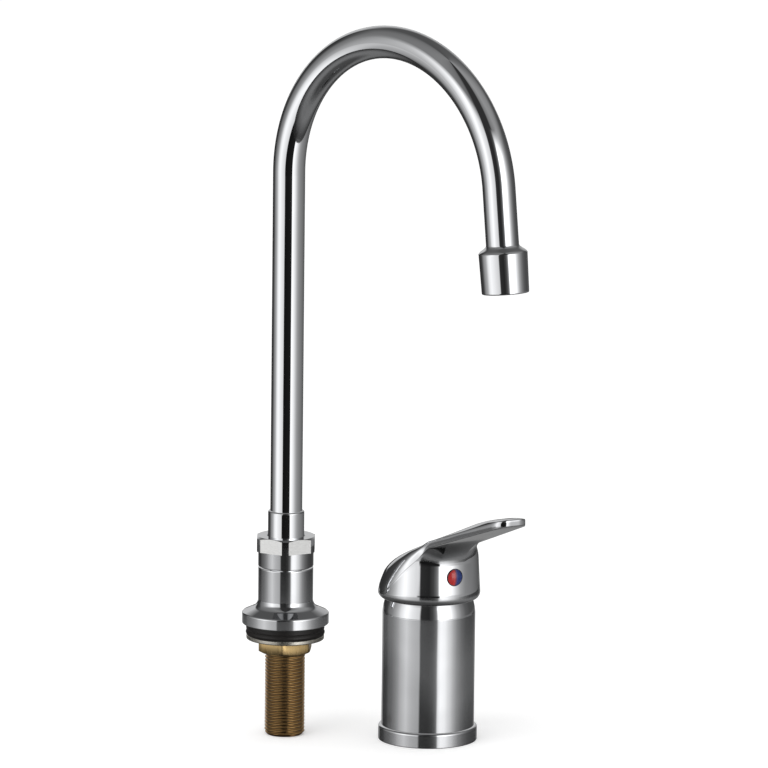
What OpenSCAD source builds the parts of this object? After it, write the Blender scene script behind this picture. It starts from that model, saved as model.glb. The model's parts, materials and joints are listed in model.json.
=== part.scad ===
// Commercial kitchen faucet: a swivelling gooseneck spout on its own threaded shank, and a
// separate single-lever mixer that stands beside it on the same worktop.
// Millimetres, +Z up. The spout swivels about the Z axis, and the mixer's axis lies on +X.
// z = 0 is the level on which the shank's end and the mixer's base ring stand.

/* [Placement] */
// Distance from the spout axis to the mixer axis
mixer_distance = 74.5; // [60:0.5:200]
// Direction in which the spout points, seen from above
spout_azimuth = -38.9; // [-180:0.1:180]
// Direction in which the lever points, seen from above
lever_azimuth = -54.7; // [-180:0.1:180]

/* [Shank and clamping set] */
// Outside diameter of the pipe thread on the shank
shank_thread_d = 20.955; // [20:0.005:21.2]
// Waterway through the shank
shank_bore_d = 14; // [10:0.5:15]
// Length from the shank's lower end to the lock nut
shank_below_nut = 43.6; // [20:0.1:80]
// Chamfer on the shank's lower end
shank_chamfer = 1.5; // [0.5:0.1:2]
// Depth of the thread under its outside diameter
thread_depth = 1.16; // [0.8:0.01:1.4]
// Size across the flats of the lock nut
lock_nut_af = 26; // [24:0.5:36]
// Thickness of the lock nut
lock_nut_h = 7; // [4:0.5:12]
// Outside diameter of the steel washer
washer_d = 40.3; // [30:0.1:50]
// Thickness of the steel washer
washer_t = 2; // [1:0.1:4]
// Outside diameter of the lower gasket at its bulge
lower_gasket_d = 41.3; // [32:0.1:52]
// Thickness of the lower gasket
lower_gasket_t = 3; // [2:0.1:6]
// Outside diameter of the upper gasket
upper_gasket_d = 40.6; // [32:0.1:44]
// Thickness of the upper gasket
upper_gasket_t = 3.2; // [2:0.1:6]
// Gap round the shank in the washer and the gaskets
washer_gap = 0.27; // [0.1:0.01:0.6]

/* [Spout base] */
// Diameter of the flange that covers the worktop hole
flange_d = 45; // [42:0.5:60]
// Height of the flange's straight rim
flange_rim_h = 4.5; // [3:0.1:7]
// Radius of the flange's upper edge
flange_edge_r = 2; // [0.5:0.1:3]
// Diameter of the upright body
body_d = 28.5; // [27.5:0.1:29.5]
// Height of the upright body with its flange, up to the parting groove
body_h = 29.6; // [24:0.1:60]
// Radius of the fillet between the body and the flange
foot_fillet = 5; // [2:0.1:6]
// Height at which that fillet ends on the body
foot_h = 12.7; // [10:0.1:16]
// Outside diameter of the thread under the coupling nut
neck_thread_d = 25.9; // [25:0.1:26.4]
// Depth to which the shank is screwed into the body
shank_grip = 11.2; // [6:0.1:14]
// Depth of the swivel bore from the top of the body
swivel_bore_depth = 23; // [18:0.5:23.5]
// Diameter of the spout tail's spigot
spigot_d = 16.8; // [15:0.1:17.2]
// Radial running gap round the spigot
spigot_gap = 0.05; // [0.02:0.01:0.1]

/* [Coupling nut] */
// Diameter of the nut's round zone with the wrench flats
coupling_d = 29.8; // [29.2:0.1:32]
// Size across the milled flats
coupling_af = 27.8; // [27.2:0.1:29]
// Diameter of the nut's round skirt
coupling_skirt_d = 28.7; // [28.2:0.1:29.5]
// Height of the skirt
coupling_skirt_h = 7; // [5:0.1:12]
// Height of the zone with the flats
coupling_hex_h = 7.4; // [5:0.1:12]
// Height of the flats themselves, below a turned collar
coupling_flat_h = 6.4; // [4:0.1:11]
// Turn of the flats about the spout's axis
coupling_turn = 5; // [0:1:60]
// Height of the rounded cap above that zone
coupling_cap_h = 3.2; // [2:0.1:5]
// Parting groove between the body and the nut
parting_gap = 0.6; // [0.3:0.1:1.5]
// Play between a thread's crest and the nut on it
thread_gap = 0.05; // [0.02:0.01:0.1]

/* [Spout tail] */
// Diameter of the sleeve that shows above the nut
sleeve_d = 18.7; // [18.2:0.1:20]
// Height of the sleeve above the nut
sleeve_show = 11.4; // [5:0.1:25]
// Depth to which the tube sits in the sleeve
tube_grip = 15.5; // [6:0.1:16]
// Diameter of the collar that the nut holds down
collar_d = 24.6; // [22:0.1:25]
// Thickness of that collar
collar_t = 2.5; // [1.5:0.1:3]
// Waterway through the tail
tail_bore_d = 10; // [8:0.5:11]
// Thickness of the slip washer under the collar
slip_washer_t = 1.2; // [0.8:0.1:2]
// Cord thickness of the two sealing rings
o_ring_t = 1.8; // [1.4:0.1:2]
// Distance of the lower sealing ring from the spigot's end
o_ring_start = 4; // [3:0.5:6]
// Distance between the two sealing rings
o_ring_spacing = 8; // [4:0.5:10]

/* [Spout tube] */
// Outside diameter of the tube
tube_d = 16.5; // [16:0.1:17]
// Wall of the tube
tube_wall = 1; // [0.8:0.1:1.5]
// Bend radius of the arch at the tube's centre line
arch_r = 74; // [50:1:120]
// Turn of the arch from the riser to the outlet leg
arch_sweep = 174; // [150:1:179]
// Height of the arch's centre
arch_centre_z = 294.4; // [200:0.1:400]
// Straight leg between the arch and the nozzle
leg_l = 27.6; // [10:0.2:60]

/* [Outlet nozzle] */
// Diameter of the nozzle at its shoulder
nozzle_d = 24.5; // [23.5:0.1:30]
// Diameter of the nozzle at its mouth
nozzle_mouth_d = 23.7; // [23:0.1:29]
// Length of the nozzle below its shoulder
nozzle_l = 20; // [16:0.5:40]
// Length of the shoulder between the tube and the nozzle
nozzle_shoulder_l = 4.2; // [3:0.1:8]
// Length of the joint plug inside the tube
nozzle_plug_l = 8; // [4:0.5:12]
// Diameter of the aerator's housing
aerator_d = 20.3; // [18:0.1:20.6]
// Length of the aerator's housing
aerator_l = 10; // [7:0.1:12]
// Distance of the aerator's face from the nozzle's mouth
aerator_recess = 1.2; // [0.5:0.1:3]
// Diameter of the holes in the aerator's face
aerator_hole_d = 2.4; // [1:0.1:2.6]
// Thickness of the aerator's rubber gasket
aerator_gasket_t = 1.5; // [1:0.1:2]
// Thickness of the aerator's strainer
strainer_t = 0.5; // [0.3:0.1:1]

/* [Mixer body] */
// Diameter of the mixer body
mixer_d = 48; // [46.5:0.5:49.5]
// Height of the mixer body's upper face
mixer_h = 67.4; // [67:0.1:90]
// Diameter of the base ring
base_ring_d = 51.2; // [50.5:0.1:60]
// Height of the base ring
base_ring_h = 7.6; // [5:0.1:12]
// Wall of the base ring round the body's foot
base_ring_wall = 3.6; // [2.6:0.1:4.6]
// Depth by which the body's underside is set back in the ring
foot_recess = 3; // [1:0.1:4]
// Width of the flat seal in the ring's underside
base_seal_w = 2; // [1:0.1:2.4]
// Thickness of the flat seal
base_seal_t = 1.5; // [1:0.1:3]
// Wall of the domed cover over the cartridge
dome_wall = 1.7; // [1:0.1:2]
// Diameter of the opening in the dome, through which the stem swings
dome_opening_d = 32.8; // [32.4:0.1:34]
// Core diameter of the three hose threads
hose_port_d = 8.92; // [8:0.01:9.2]
// Depth of the hose threads
hose_port_l = 11; // [6:0.5:16]
// Distance of the waterways from the mixer axis
port_circle_r = 7.6; // [6.8:0.1:8]
// Core diameter of the thread for the fixing stud
stud_hole_d = 6.8; // [5:0.1:7]
// Depth of the fixing stud's thread
stud_hole_l = 15; // [8:0.5:20]
// Distance of the fixing stud from the mixer axis
stud_offset = 15.5; // [14.5:0.1:17]

/* [Cartridge] */
// Outside diameter of the cartridge
cartridge_d = 35; // [34.6:0.1:35.2]
// Height of the cartridge seat in the mixer body
cartridge_seat_z = 30; // [20:0.1:30]
// Waterways through the cartridge
waterway_d = 5.2; // [4:0.1:5.6]
// Diameter of the ceramic disc that stays
fixed_disc_d = 30.8; // [28:0.1:30.9]
// Thickness of the ceramic disc that stays
fixed_disc_t = 4; // [3:0.1:5]
// Diameter of the ceramic disc that slides
moving_disc_d = 22; // [21.6:0.1:22.4]
// Thickness of the ceramic disc that slides
moving_disc_t = 4.4; // [3:0.1:5]
// Diameter of the turning bush that carries the stem
bush_d = 23.6; // [22:0.1:24]
// Radial running gap round the turning bush
bush_gap = 0.08; // [0.03:0.01:0.1]
// Diameter of the pin on which the stem tilts
pivot_pin_d = 3; // [2.5:0.1:4]
// Depth of the tilting axis below the mixer body's upper face
pivot_depth = 1.4; // [0.5:0.1:3]
// Distance from the tilting axis down to the stem's ball
ball_drop = 9; // [8:0.1:9.2]
// Diameter of the stem's ball
ball_d = 6; // [5:0.1:6.4]
// Play round the ball in the slide
ball_gap = 0.3; // [0.2:0.01:0.4]
// Size across the flats of the stem's square
stem_af = 7.5; // [6:0.1:7.6]
// Size across the flats of the clamping nut
clamp_nut_af = 30; // [29.5:0.1:34]

/* [Handle] */
// Largest diameter of the handle's drum
handle_d = 52.8; // [52:0.1:56]
// Gap between the mixer body's upper face and the handle's rim
handle_rim_gap = 7.3; // [7:0.1:9]
// Gap between the dome and the handle's cavity
dome_gap = 0.5; // [0.4:0.05:0.8]
// Height of the drum's crown above the rim, on the mixer axis
crown_h = 24.8; // [24.3:0.1:32]
// Slope of the lever's ridge line
ridge_slope = 0.455; // [0.3:0.005:0.6]
// Reach of the lever from the mixer axis
lever_reach = 84.5; // [60:0.5:120]
// Width of the lever at its tip
lever_tip_w = 16.9; // [10:0.1:24]
// Gain in the lever's width for each millimetre from its tip
lever_taper = 0.214; // [0.1:0.002:0.3]
// Thickness of the lever's edge
lever_edge_t = 3.6; // [2.6:0.1:5]
// Distance from the mixer axis at which the lever's edge leaves the drum
lever_root = 30; // [26:0.5:36]
// Height of the lever's lower edge over the crown at that distance
lever_edge_rise = 8.5; // [6:0.1:10]
// Slope of the lever's lower edge from there on
lever_edge_slope = 0.346; // [0.2:0.002:0.45]
// Height of the drum's edge above the rim, round the back
drum_edge_h = 4.4; // [4:0.1:8]
// Thickness of the drum's edge, round the back
drum_edge_t = 2.5; // [1.5:0.1:4]
// Height of the boss's lower face above the tilting axis
boss_lift = 14; // [13:0.5:18]
// Length of the hollow fillet between the drum and the lever's underside
under_fillet = 15; // [8:0.5:18]
// Height of the index plug above the rim
index_h = 14.9; // [14.5:0.1:16]
// Diameter of the index plug
index_d = 8.4; // [7:0.1:8.6]
// Width of the plug's dark rim round the two coloured halves
index_rim_w = 0.5; // [0.45:0.05:1]
// Height of the coloured dome
index_dome_h = 0.9; // [0.4:0.1:1.5]
// Diameter of the set screw behind the index plug
set_screw_d = 5; // [4:0.5:6]

/* [Hidden] */

$fn = 96;
// A cut runs this far past the faces that it opens
over = 1;
// Press fits and brazed joints keep this radial gap
seat_gap = 0.05;

// Levels of the shank and its clamping set
lock_nut_z = shank_below_nut;
washer_z = lock_nut_z + lock_nut_h;
lower_gasket_z = washer_z + washer_t;
upper_gasket_z = lower_gasket_z + lower_gasket_t;
flange_z = upper_gasket_z + upper_gasket_t;
shank_top_z = flange_z + shank_grip;
shank_r = shank_thread_d / 2;
shank_core_r = shank_r - thread_depth;
// The shank's upper end is a finer fit than its pipe thread
shank_grip_r = shank_r - thread_depth / 2;

// Levels of the spout base and its nut
groove_z = flange_z + body_h;
skirt_z = groove_z + parting_gap;
body_top_z = skirt_z + coupling_skirt_h;
hex_z = body_top_z;
hex_top_z = hex_z + coupling_hex_h;
nut_top_z = hex_top_z + coupling_cap_h;
swivel_floor_z = body_top_z - swivel_bore_depth;
spigot_r = spigot_d / 2;
neck_r = neck_thread_d / 2;
// Slope of the flange between its edge and the foot fillet
flange_slope = 26;

// Levels of the spout tail
collar_z = body_top_z + slip_washer_t + seat_gap;
collar_top_z = collar_z + collar_t;
// End play of the collar under the nut's shoulder
collar_play = 0.3;
sleeve_top_z = nut_top_z + sleeve_show;
tube_foot_z = sleeve_top_z - tube_grip;
spigot_end_z = swivel_floor_z + 2;
o_ring_zs = [for (i = [0, 1]) spigot_end_z + o_ring_start + i * o_ring_spacing];
// The ring's outer face touches the bore's wall but for a film of grease
o_ring_r = spigot_r - o_ring_t / 2;
tube_r = tube_d / 2;
tube_in_r = tube_r - tube_wall;

// The nozzle's own frame starts at the end of the leg and runs along the flow
nozzle_end = nozzle_shoulder_l + nozzle_l;
chamber_r = aerator_d / 2 + seat_gap;
aerator_end = nozzle_end - aerator_recess;
aerator_start = aerator_end - aerator_l;
chamber_start = aerator_start - aerator_gasket_t;

// Levels of the mixer
mixer_r = mixer_d / 2;
foot_d = base_ring_d - 2 * base_ring_wall;
pivot_z = mixer_h - pivot_depth;
dome_in_r = mixer_r - dome_wall;
clamp_flange_z = mixer_h + 0.2;
clamp_flange_h = 3.4;
clamp_flange_r = mixer_r - 2.4;
clamp_hex_h = 3.4;
clamp_thread_r = 19.9;
clamp_thread_l = 5.4;

// Levels of the cartridge, from its seat up
cartridge_r = cartridge_d / 2;
cartridge_lift = 0.2;
cartridge_foot_z = cartridge_seat_z + cartridge_lift;
cartridge_foot_h = 1.8;
cartridge_in_r = cartridge_r - 2;
// Height of the bush above the tilting axis
bush_over_pivot = 5;
// Depth of the moving disc's face below the carrier's top
carrier_drop = 7.8;
ball_z = pivot_z - ball_drop;
carrier_top_z = ball_z + 1.3;
bush_flange_z = carrier_top_z + 0.3;
bush_flange_h = 2.2;
bush_flange_r = cartridge_in_r - 0.3;
housing_shelf_z = bush_flange_z + bush_flange_h + 0.1;
housing_shoulder_z = clamp_flange_z - clamp_thread_l;
housing_top_z = pivot_z + 4;
housing_neck_r = bush_d / 2 + 2.4;
bush_top_z = pivot_z + bush_over_pivot;
moving_disc_top_z = carrier_top_z - carrier_drop;
moving_disc_z = moving_disc_top_z - moving_disc_t;
disc_film = 0.05;
fixed_disc_z = moving_disc_z - disc_film - fixed_disc_t;
seal_r = waterway_d / 2 + 2.3;
seal_t = 1.4;
stem_slot_w = stem_af + 0.4;
stem_slot_l = 17;
port_angles = [90, 210, 330];

// Levels of the handle
rim_z = mixer_h + handle_rim_gap;
handle_r = handle_d / 2;
cavity_r = mixer_r + dome_gap;
boss_r = 6.5;
boss_z = pivot_z + boss_lift;
stem_top_z = pivot_z + cavity_r + 1.8;
index_z = rim_z + index_h;
drum_draft = 0.03;
// Length over which the edge climbs from the drum's back to the lever's root
edge_climb = 40;
index_r = index_d / 2;
index_bore_start = 16;
index_inlay_r = index_r - index_rim_w;
index_inlay_t = 0.8;
index_front = handle_r - drum_draft * index_h + 0.25;

// Points on an arc, from angle a to angle b
function arc(centre, r, a, b, n) =
    [for (i = [0 : n]) centre + r * [cos(a + (b - a) * i / n), sin(a + (b - a) * i / n)]];
// Smooth step from 0 to 1 between a and b
function ease(t) = t <= 0 ? 0 : t >= 1 ? 1 : t * t * (3 - 2 * t);
function mix(a, b, t) = a * (1 - t) + b * t;

// A ring with square edges
module ring(r_out, r_in, h) {
    rotate_extrude() translate([r_in, 0]) square([r_out - r_in, h]);
}

// A hexagon with a corner on the -Y side and turned chamfers on the ends that ask for them
module hex_block(af, h, low, high) {
    corner_r = af / 2 / cos(30);
    // Width and height of the turned chamfer
    cut = corner_r - af / 2 + 0.3;
    rise = cut * 0.58;
    intersection() {
        rotate(30) cylinder(r = corner_r, h = h, $fn = 6);
        rotate_extrude() polygon([
            [0, 0], [corner_r - (low ? cut : 0), 0], [corner_r, low ? rise : 0],
            [corner_r, h - (high ? rise : 0)], [corner_r - (high ? cut : 0), h], [0, h]
        ]);
    }
}

// Places what rides on the spout's outlet: +Z runs along the flow, from the end of the leg
module at_outlet() {
    rotate([0, 0, spout_azimuth])
        translate([arch_r * (1 - cos(arch_sweep)), 0, arch_centre_z + arch_r * sin(arch_sweep)])
            rotate([0, arch_sweep, 0]) translate([0, 0, leg_l]) children();
}

// Places what stands on the mixer axis
module at_mixer() {
    translate([mixer_distance, 0, 0]) children();
}

// Places what points along the lever: +X runs along the lever
module at_lever() {
    at_mixer() rotate([0, 0, lever_azimuth]) children();
}

// Pipe shank: its outside is the thread's crest, cut back to the core inside the lock nut
module threaded_shank() {
    color("darkgoldenrod") difference() {
        rotate_extrude() polygon([
            [0, 0], [shank_r - shank_chamfer, 0], [shank_r, shank_chamfer],
            [shank_r, lock_nut_z], [shank_core_r, lock_nut_z],
            [shank_core_r, washer_z], [shank_r, washer_z],
            [shank_r, flange_z], [shank_grip_r, flange_z],
            [shank_grip_r, shank_top_z], [0, shank_top_z]
        ]);
        translate([0, 0, -over]) cylinder(d = shank_bore_d, h = shank_top_z + 2 * over);
    }
}

module lock_nut() {
    color("gold") translate([0, 0, lock_nut_z]) difference() {
        hex_block(lock_nut_af, lock_nut_h, true, true);
        translate([0, 0, -over]) cylinder(r = shank_core_r + thread_gap, h = lock_nut_h + 2 * over);
    }
}

module lock_washer() {
    color("lightgray") translate([0, 0, washer_z])
        ring(washer_d / 2, shank_r + washer_gap, washer_t);
}

// The lower gasket bulges under the clamping force
module lower_gasket() {
    bulge = lower_gasket_t * 0.3;
    r = lower_gasket_d / 2 - bulge;
    color("black") translate([0, 0, lower_gasket_z]) difference() {
        rotate_extrude() polygon(concat(
            [[0, 0]],
            [for (p = arc([0, 0], 1, -90, 90, 10)) [r + bulge * p[0], lower_gasket_t * (1 + p[1]) / 2]],
            [[0, lower_gasket_t]]
        ));
        translate([0, 0, -over])
            cylinder(r = shank_r + washer_gap, h = lower_gasket_t + 2 * over);
    }
}

module upper_gasket() {
    edge = 0.5;
    r = upper_gasket_d / 2;
    color("black") translate([0, 0, upper_gasket_z]) rotate_extrude() polygon([
        [shank_r + washer_gap, 0], [r - edge, 0], [r, edge],
        [r, upper_gasket_t - edge], [r - edge, upper_gasket_t],
        [shank_r + washer_gap, upper_gasket_t]
    ]);
}

// Flange and upright body in one turned piece, with the swivel bore from above
module base_body() {
    flange_r = flange_d / 2;
    r = body_d / 2;
    edge = 0.4;
    foot_top_z = flange_z + foot_h;
    color("silver") difference() {
        rotate_extrude() polygon(concat(
            [[0, flange_z], [flange_r - edge, flange_z], [flange_r, flange_z + edge]],
            arc([flange_r - flange_edge_r, flange_z + flange_rim_h], flange_edge_r,
                0, 90 - flange_slope, 5),
            arc([r + foot_fillet, foot_top_z], foot_fillet, 270 - flange_slope, 180, 8),
            [[r, groove_z], [neck_r, groove_z], [neck_r, body_top_z - edge],
             [neck_r - edge, body_top_z], [0, body_top_z]]
        ));
        translate([0, 0, flange_z - over])
            cylinder(r = shank_grip_r + thread_gap, h = shank_grip + over);
        translate([0, 0, flange_z]) cylinder(d = shank_bore_d - 1, h = body_h);
        translate([0, 0, swivel_floor_z])
            cylinder(r = spigot_r + spigot_gap, h = swivel_bore_depth + over);
    }
}

// One turned piece: a skirt, a wider zone with six milled flats and a rounded cap, hollow over
// the tail's collar
module coupling_nut() {
    skirt_r = coupling_skirt_d / 2;
    round_r = coupling_d / 2;
    // Radius of the cap's flat top
    cap_top_r = sleeve_d / 2 + 2.6;
    color("silver") difference() {
        union() {
            translate([0, 0, skirt_z]) cylinder(r = skirt_r, h = coupling_skirt_h);
            rotate_extrude() polygon(concat(
                [[0, hex_z], [round_r, hex_z]],
                [for (p = arc([0, 0], 1, 0, 90, 8))
                    [cap_top_r + (round_r - cap_top_r) * p[0], hex_top_z + coupling_cap_h * p[1]]],
                [[0, nut_top_z]]
            ));
        }
        for (i = [0:5])
            rotate(coupling_turn + 60 * i) translate([coupling_af / 2, -round_r, hex_z])
                cube([round_r, coupling_d, coupling_flat_h]);
        translate([0, 0, skirt_z - over])
            cylinder(r = neck_r + thread_gap, h = collar_top_z + collar_play - skirt_z + over);
        translate([0, 0, skirt_z]) cylinder(r = sleeve_d / 2 + 0.25, h = nut_top_z);
    }
}

module slip_washer() {
    color("white") translate([0, 0, body_top_z])
        ring(collar_d / 2, spigot_r + 0.2, slip_washer_t);
}

// Swivel tail: spigot with two ring grooves, collar, and the sleeve that the tube is brazed in
module tail_piece() {
    sleeve_r = sleeve_d / 2;
    edge = 0.7;
    groove_h = o_ring_t + 0.2;
    groove_r = spigot_r - o_ring_t;
    color("silver") difference() {
        rotate_extrude() polygon([
            [0, spigot_end_z], [spigot_r - edge, spigot_end_z], [spigot_r, spigot_end_z + edge],
            [spigot_r, collar_z], [collar_d / 2, collar_z], [collar_d / 2, collar_top_z],
            [sleeve_r, collar_top_z], [sleeve_r, sleeve_top_z - edge],
            [sleeve_r - edge, sleeve_top_z], [0, sleeve_top_z]
        ]);
        for (z = o_ring_zs)
            translate([0, 0, z - groove_h / 2]) ring(spigot_r + over, groove_r, groove_h);
        translate([0, 0, spigot_end_z - over])
            cylinder(d = tail_bore_d, h = sleeve_top_z - spigot_end_z + 2 * over);
        translate([0, 0, tube_foot_z])
            cylinder(r = tube_r + seat_gap, h = tube_grip + over);
    }
}

module spigot_o_rings() {
    color("black") for (z = o_ring_zs)
        translate([0, 0, z]) rotate_extrude() translate([o_ring_r, 0]) circle(d = o_ring_t, $fn = 24);
}

// One bent tube: riser, arch and outlet leg
module spout_tube() {
    color("silver") rotate([0, 0, spout_azimuth]) translate([arch_r, 0, arch_centre_z])
        rotate([90, 0, 0]) difference() {
            spout_rod(tube_r, 0);
            spout_rod(tube_in_r, over);
        }
}

// A round rod along the tube's centre line, longer at both ends by extra. It is drawn in the
// arch's own frame: the origin at the arch's centre, X away from the riser and Y upwards
module spout_rod(r, extra) {
    leg_turn = 180 - arch_sweep;
    union() {
        translate([-arch_r, 0, 0]) rotate([90, 0, 0])
            cylinder(r = r, h = arch_centre_z - tube_foot_z + extra);
        rotate_extrude(start = leg_turn, angle = arch_sweep) translate([arch_r, 0]) circle(r = r);
        rotate([0, 0, leg_turn]) translate([arch_r, 0, 0]) rotate([90, 0, 0])
            cylinder(r = r, h = leg_l + extra);
    }
}

// Nozzle: a plug inside the tube, a shoulder with a double curve, and a slightly tapered cup
module outlet_nozzle() {
    plug_r = tube_in_r - seat_gap;
    plug_bore_r = plug_r - 1.6;
    edge = 0.5;
    steps = 10;
    color("silver") at_outlet() difference() {
        rotate_extrude() polygon(concat(
            [[0, -nozzle_plug_l], [plug_r, -nozzle_plug_l], [plug_r, 0]],
            [for (i = [0 : steps])
                [mix(tube_r, nozzle_d / 2, ease(i / steps)), nozzle_shoulder_l * i / steps]],
            [[nozzle_mouth_d / 2, nozzle_end - edge], [nozzle_mouth_d / 2 - edge, nozzle_end],
             [0, nozzle_end]]
        ));
        translate([0, 0, -nozzle_plug_l - over])
            cylinder(r = plug_bore_r, h = nozzle_end + nozzle_plug_l + 2 * over);
        translate([0, 0, chamber_start]) cylinder(r = chamber_r, h = nozzle_end);
    }
}

module aerator_gasket() {
    color("black") at_outlet() translate([0, 0, chamber_start])
        ring(aerator_d / 2, aerator_d / 2 - 2.4, aerator_gasket_t);
}

// Strainer disc in a shallow seat on the aerator's inlet side
module aerator_strainer() {
    color("gray") at_outlet() translate([0, 0, aerator_start])
        cylinder(r = aerator_d / 2 - 1, h = strainer_t);
}

// Aerator: a cup with a hollow mixing chamber and a face of two rings of round holes
module aerator_housing() {
    face_t = 1.6;
    wall = 1;
    hole_rings = [[1, 0], [6, 3.4], [12, 6.7]];
    color("whitesmoke") at_outlet() translate([0, 0, aerator_start]) difference() {
        cylinder(d = aerator_d, h = aerator_l);
        translate([0, 0, -over]) cylinder(r = aerator_d / 2 - wall + seat_gap, h = strainer_t + over);
        translate([0, 0, strainer_t - over / 2])
            cylinder(r = aerator_d / 2 - 2 * wall, h = aerator_l - face_t - strainer_t + over / 2);
        for (hole = hole_rings, i = [0 : hole[0] - 1])
            rotate(i * 360 / hole[0]) translate([hole[1], 0, 0])
                cylinder(d = aerator_hole_d, h = aerator_l + over, $fn = 24);
    }
}

// Polished ring under the mixer body, grooved for the flat seal
module mixer_base_ring() {
    r = base_ring_d / 2;
    edge = 0.6;
    seal_r_in = mid_ring_r() - base_seal_w / 2;
    color("silver") at_mixer() difference() {
        rotate_extrude() polygon([
            [foot_d / 2, 0], [r - edge, 0], [r, edge], [r, base_ring_h - edge],
            [r - edge, base_ring_h], [foot_d / 2, base_ring_h]
        ]);
        translate([0, 0, -over]) ring(seal_r_in + base_seal_w, seal_r_in, base_seal_t + over);
    }
}

// Middle of the base ring's wall
function mid_ring_r() = (base_ring_d + foot_d) / 4;

module mixer_base_seal() {
    seal_r_in = mid_ring_r() - base_seal_w / 2 + seat_gap;
    color("black") at_mixer() ring(seal_r_in + base_seal_w - 2 * seat_gap, seal_r_in, base_seal_t);
}

// Mixer body: a cylinder with a foot in the base ring, the cartridge well from above, and the
// three waterways and the stud's thread from below
module mixer_body() {
    edge = 0.4;
    foot_r = foot_d / 2 - seat_gap;
    well_r = cartridge_r + 0.1;
    color("lightgray") at_mixer() difference() {
        rotate_extrude() polygon([
            [0, foot_recess], [foot_r, foot_recess], [foot_r, base_ring_h],
            [mixer_r, base_ring_h], [mixer_r, mixer_h - edge],
            [mixer_r - edge, mixer_h], [0, mixer_h]
        ]);
        translate([0, 0, cartridge_seat_z]) cylinder(r = well_r, h = mixer_h);
        translate([0, 0, housing_shoulder_z - over])
            cylinder(r = clamp_thread_r + thread_gap, h = mixer_h);
        for (a = port_angles) rotate(a) translate([port_circle_r, 0, 0]) {
            cylinder(d = hose_port_d, h = foot_recess + hose_port_l);
            cylinder(d = waterway_d, h = cartridge_seat_z + over);
        }
        translate([0, -stud_offset, 0]) cylinder(d = stud_hole_d, h = foot_recess + stud_hole_l);
    }
}

// Domed cover: its outside is a sphere about the tilting axis, so the handle glides over it
module bonnet_dome() {
    color("silver") at_mixer() difference() {
        translate([0, 0, pivot_z]) sphere(r = mixer_r);
        translate([0, 0, pivot_z]) sphere(r = dome_in_r);
        translate([0, 0, mixer_h - 2 * mixer_r]) cylinder(r = 2 * mixer_r, h = 2 * mixer_r);
        translate([0, 0, pivot_z])
            cylinder(r = clamp_flange_r + thread_gap, h = clamp_flange_z + clamp_flange_h - pivot_z);
        translate([0, 0, pivot_z]) cylinder(d = dome_opening_d, h = 2 * mixer_r);
    }
}

// Brass nut that clamps the cartridge and carries the dome on its outer thread
module clamp_nut() {
    color("gold") at_mixer() difference() {
        union() {
            translate([0, 0, housing_shoulder_z]) cylinder(r = clamp_thread_r, h = clamp_thread_l);
            translate([0, 0, clamp_flange_z]) cylinder(r = clamp_flange_r, h = clamp_flange_h);
            translate([0, 0, clamp_flange_z + clamp_flange_h])
                hex_block(clamp_nut_af, clamp_hex_h, false, true);
        }
        translate([0, 0, housing_shoulder_z - over])
            cylinder(r = housing_neck_r + 0.2, h = mixer_h);
    }
}

module cartridge_housing() {
    color("white") at_mixer() difference() {
        rotate_extrude() polygon([
            [0, cartridge_foot_z + cartridge_foot_h], [cartridge_r, cartridge_foot_z + cartridge_foot_h],
            [cartridge_r, housing_shoulder_z], [housing_neck_r, housing_shoulder_z],
            [housing_neck_r, housing_top_z], [0, housing_top_z]
        ]);
        translate([0, 0, cartridge_foot_z]) cylinder(r = cartridge_in_r, h = housing_shelf_z - cartridge_foot_z);
        translate([0, 0, cartridge_foot_z])
            cylinder(r = bush_d / 2 + bush_gap, h = housing_top_z);
    }
}

// Lower end of the cartridge with the three waterways, seated on its three seals
module cartridge_base() {
    color("dimgray") at_mixer() difference() {
        union() {
            translate([0, 0, cartridge_foot_z]) cylinder(r = cartridge_r, h = cartridge_foot_h);
            translate([0, 0, cartridge_foot_z])
                cylinder(r = cartridge_in_r - seat_gap, h = fixed_disc_z - cartridge_foot_z);
        }
        for (a = port_angles) rotate(a) translate([port_circle_r, 0, 0]) {
            translate([0, 0, cartridge_foot_z - over])
                cylinder(d = waterway_d, h = fixed_disc_z - cartridge_foot_z + 2 * over);
            translate([0, 0, cartridge_foot_z - over])
                cylinder(r = seal_r + seat_gap, h = seal_t - cartridge_lift + over);
        }
    }
}

module cartridge_seals() {
    color("black") at_mixer() for (a = port_angles)
        rotate(a) translate([port_circle_r, 0, cartridge_seat_z])
            ring(seal_r, waterway_d / 2 + 0.4, seal_t);
}

module fixed_disc() {
    color("lightyellow") at_mixer() translate([0, 0, fixed_disc_z]) difference() {
        cylinder(d = fixed_disc_d, h = fixed_disc_t);
        for (a = port_angles) rotate(a) translate([port_circle_r, 0, -over])
            cylinder(d = waterway_d, h = fixed_disc_t + 2 * over);
    }
}

// Turning bush: it fills the housing's neck and carries the stem's pin across its slot
module turn_bush() {
    color("white") at_lever() difference() {
        union() {
            translate([0, 0, bush_flange_z]) cylinder(r = bush_flange_r, h = bush_flange_h);
            translate([0, 0, bush_flange_z]) cylinder(d = bush_d, h = bush_top_z - bush_flange_z);
        }
        translate([-stem_slot_l / 2, -stem_slot_w / 2, bush_flange_z - over])
            cube([stem_slot_l, stem_slot_w, bush_top_z - bush_flange_z + 2 * over]);
        translate([0, bush_d, pivot_z]) rotate([90, 0, 0])
            cylinder(d = pivot_pin_d + 2 * seat_gap, h = 2 * bush_d);
    }
}

module pivot_pin() {
    l = bush_d - 1.6;
    color("gray") at_lever() translate([0, l / 2, pivot_z]) rotate([90, 0, 0])
        cylinder(d = pivot_pin_d, h = l);
}

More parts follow.
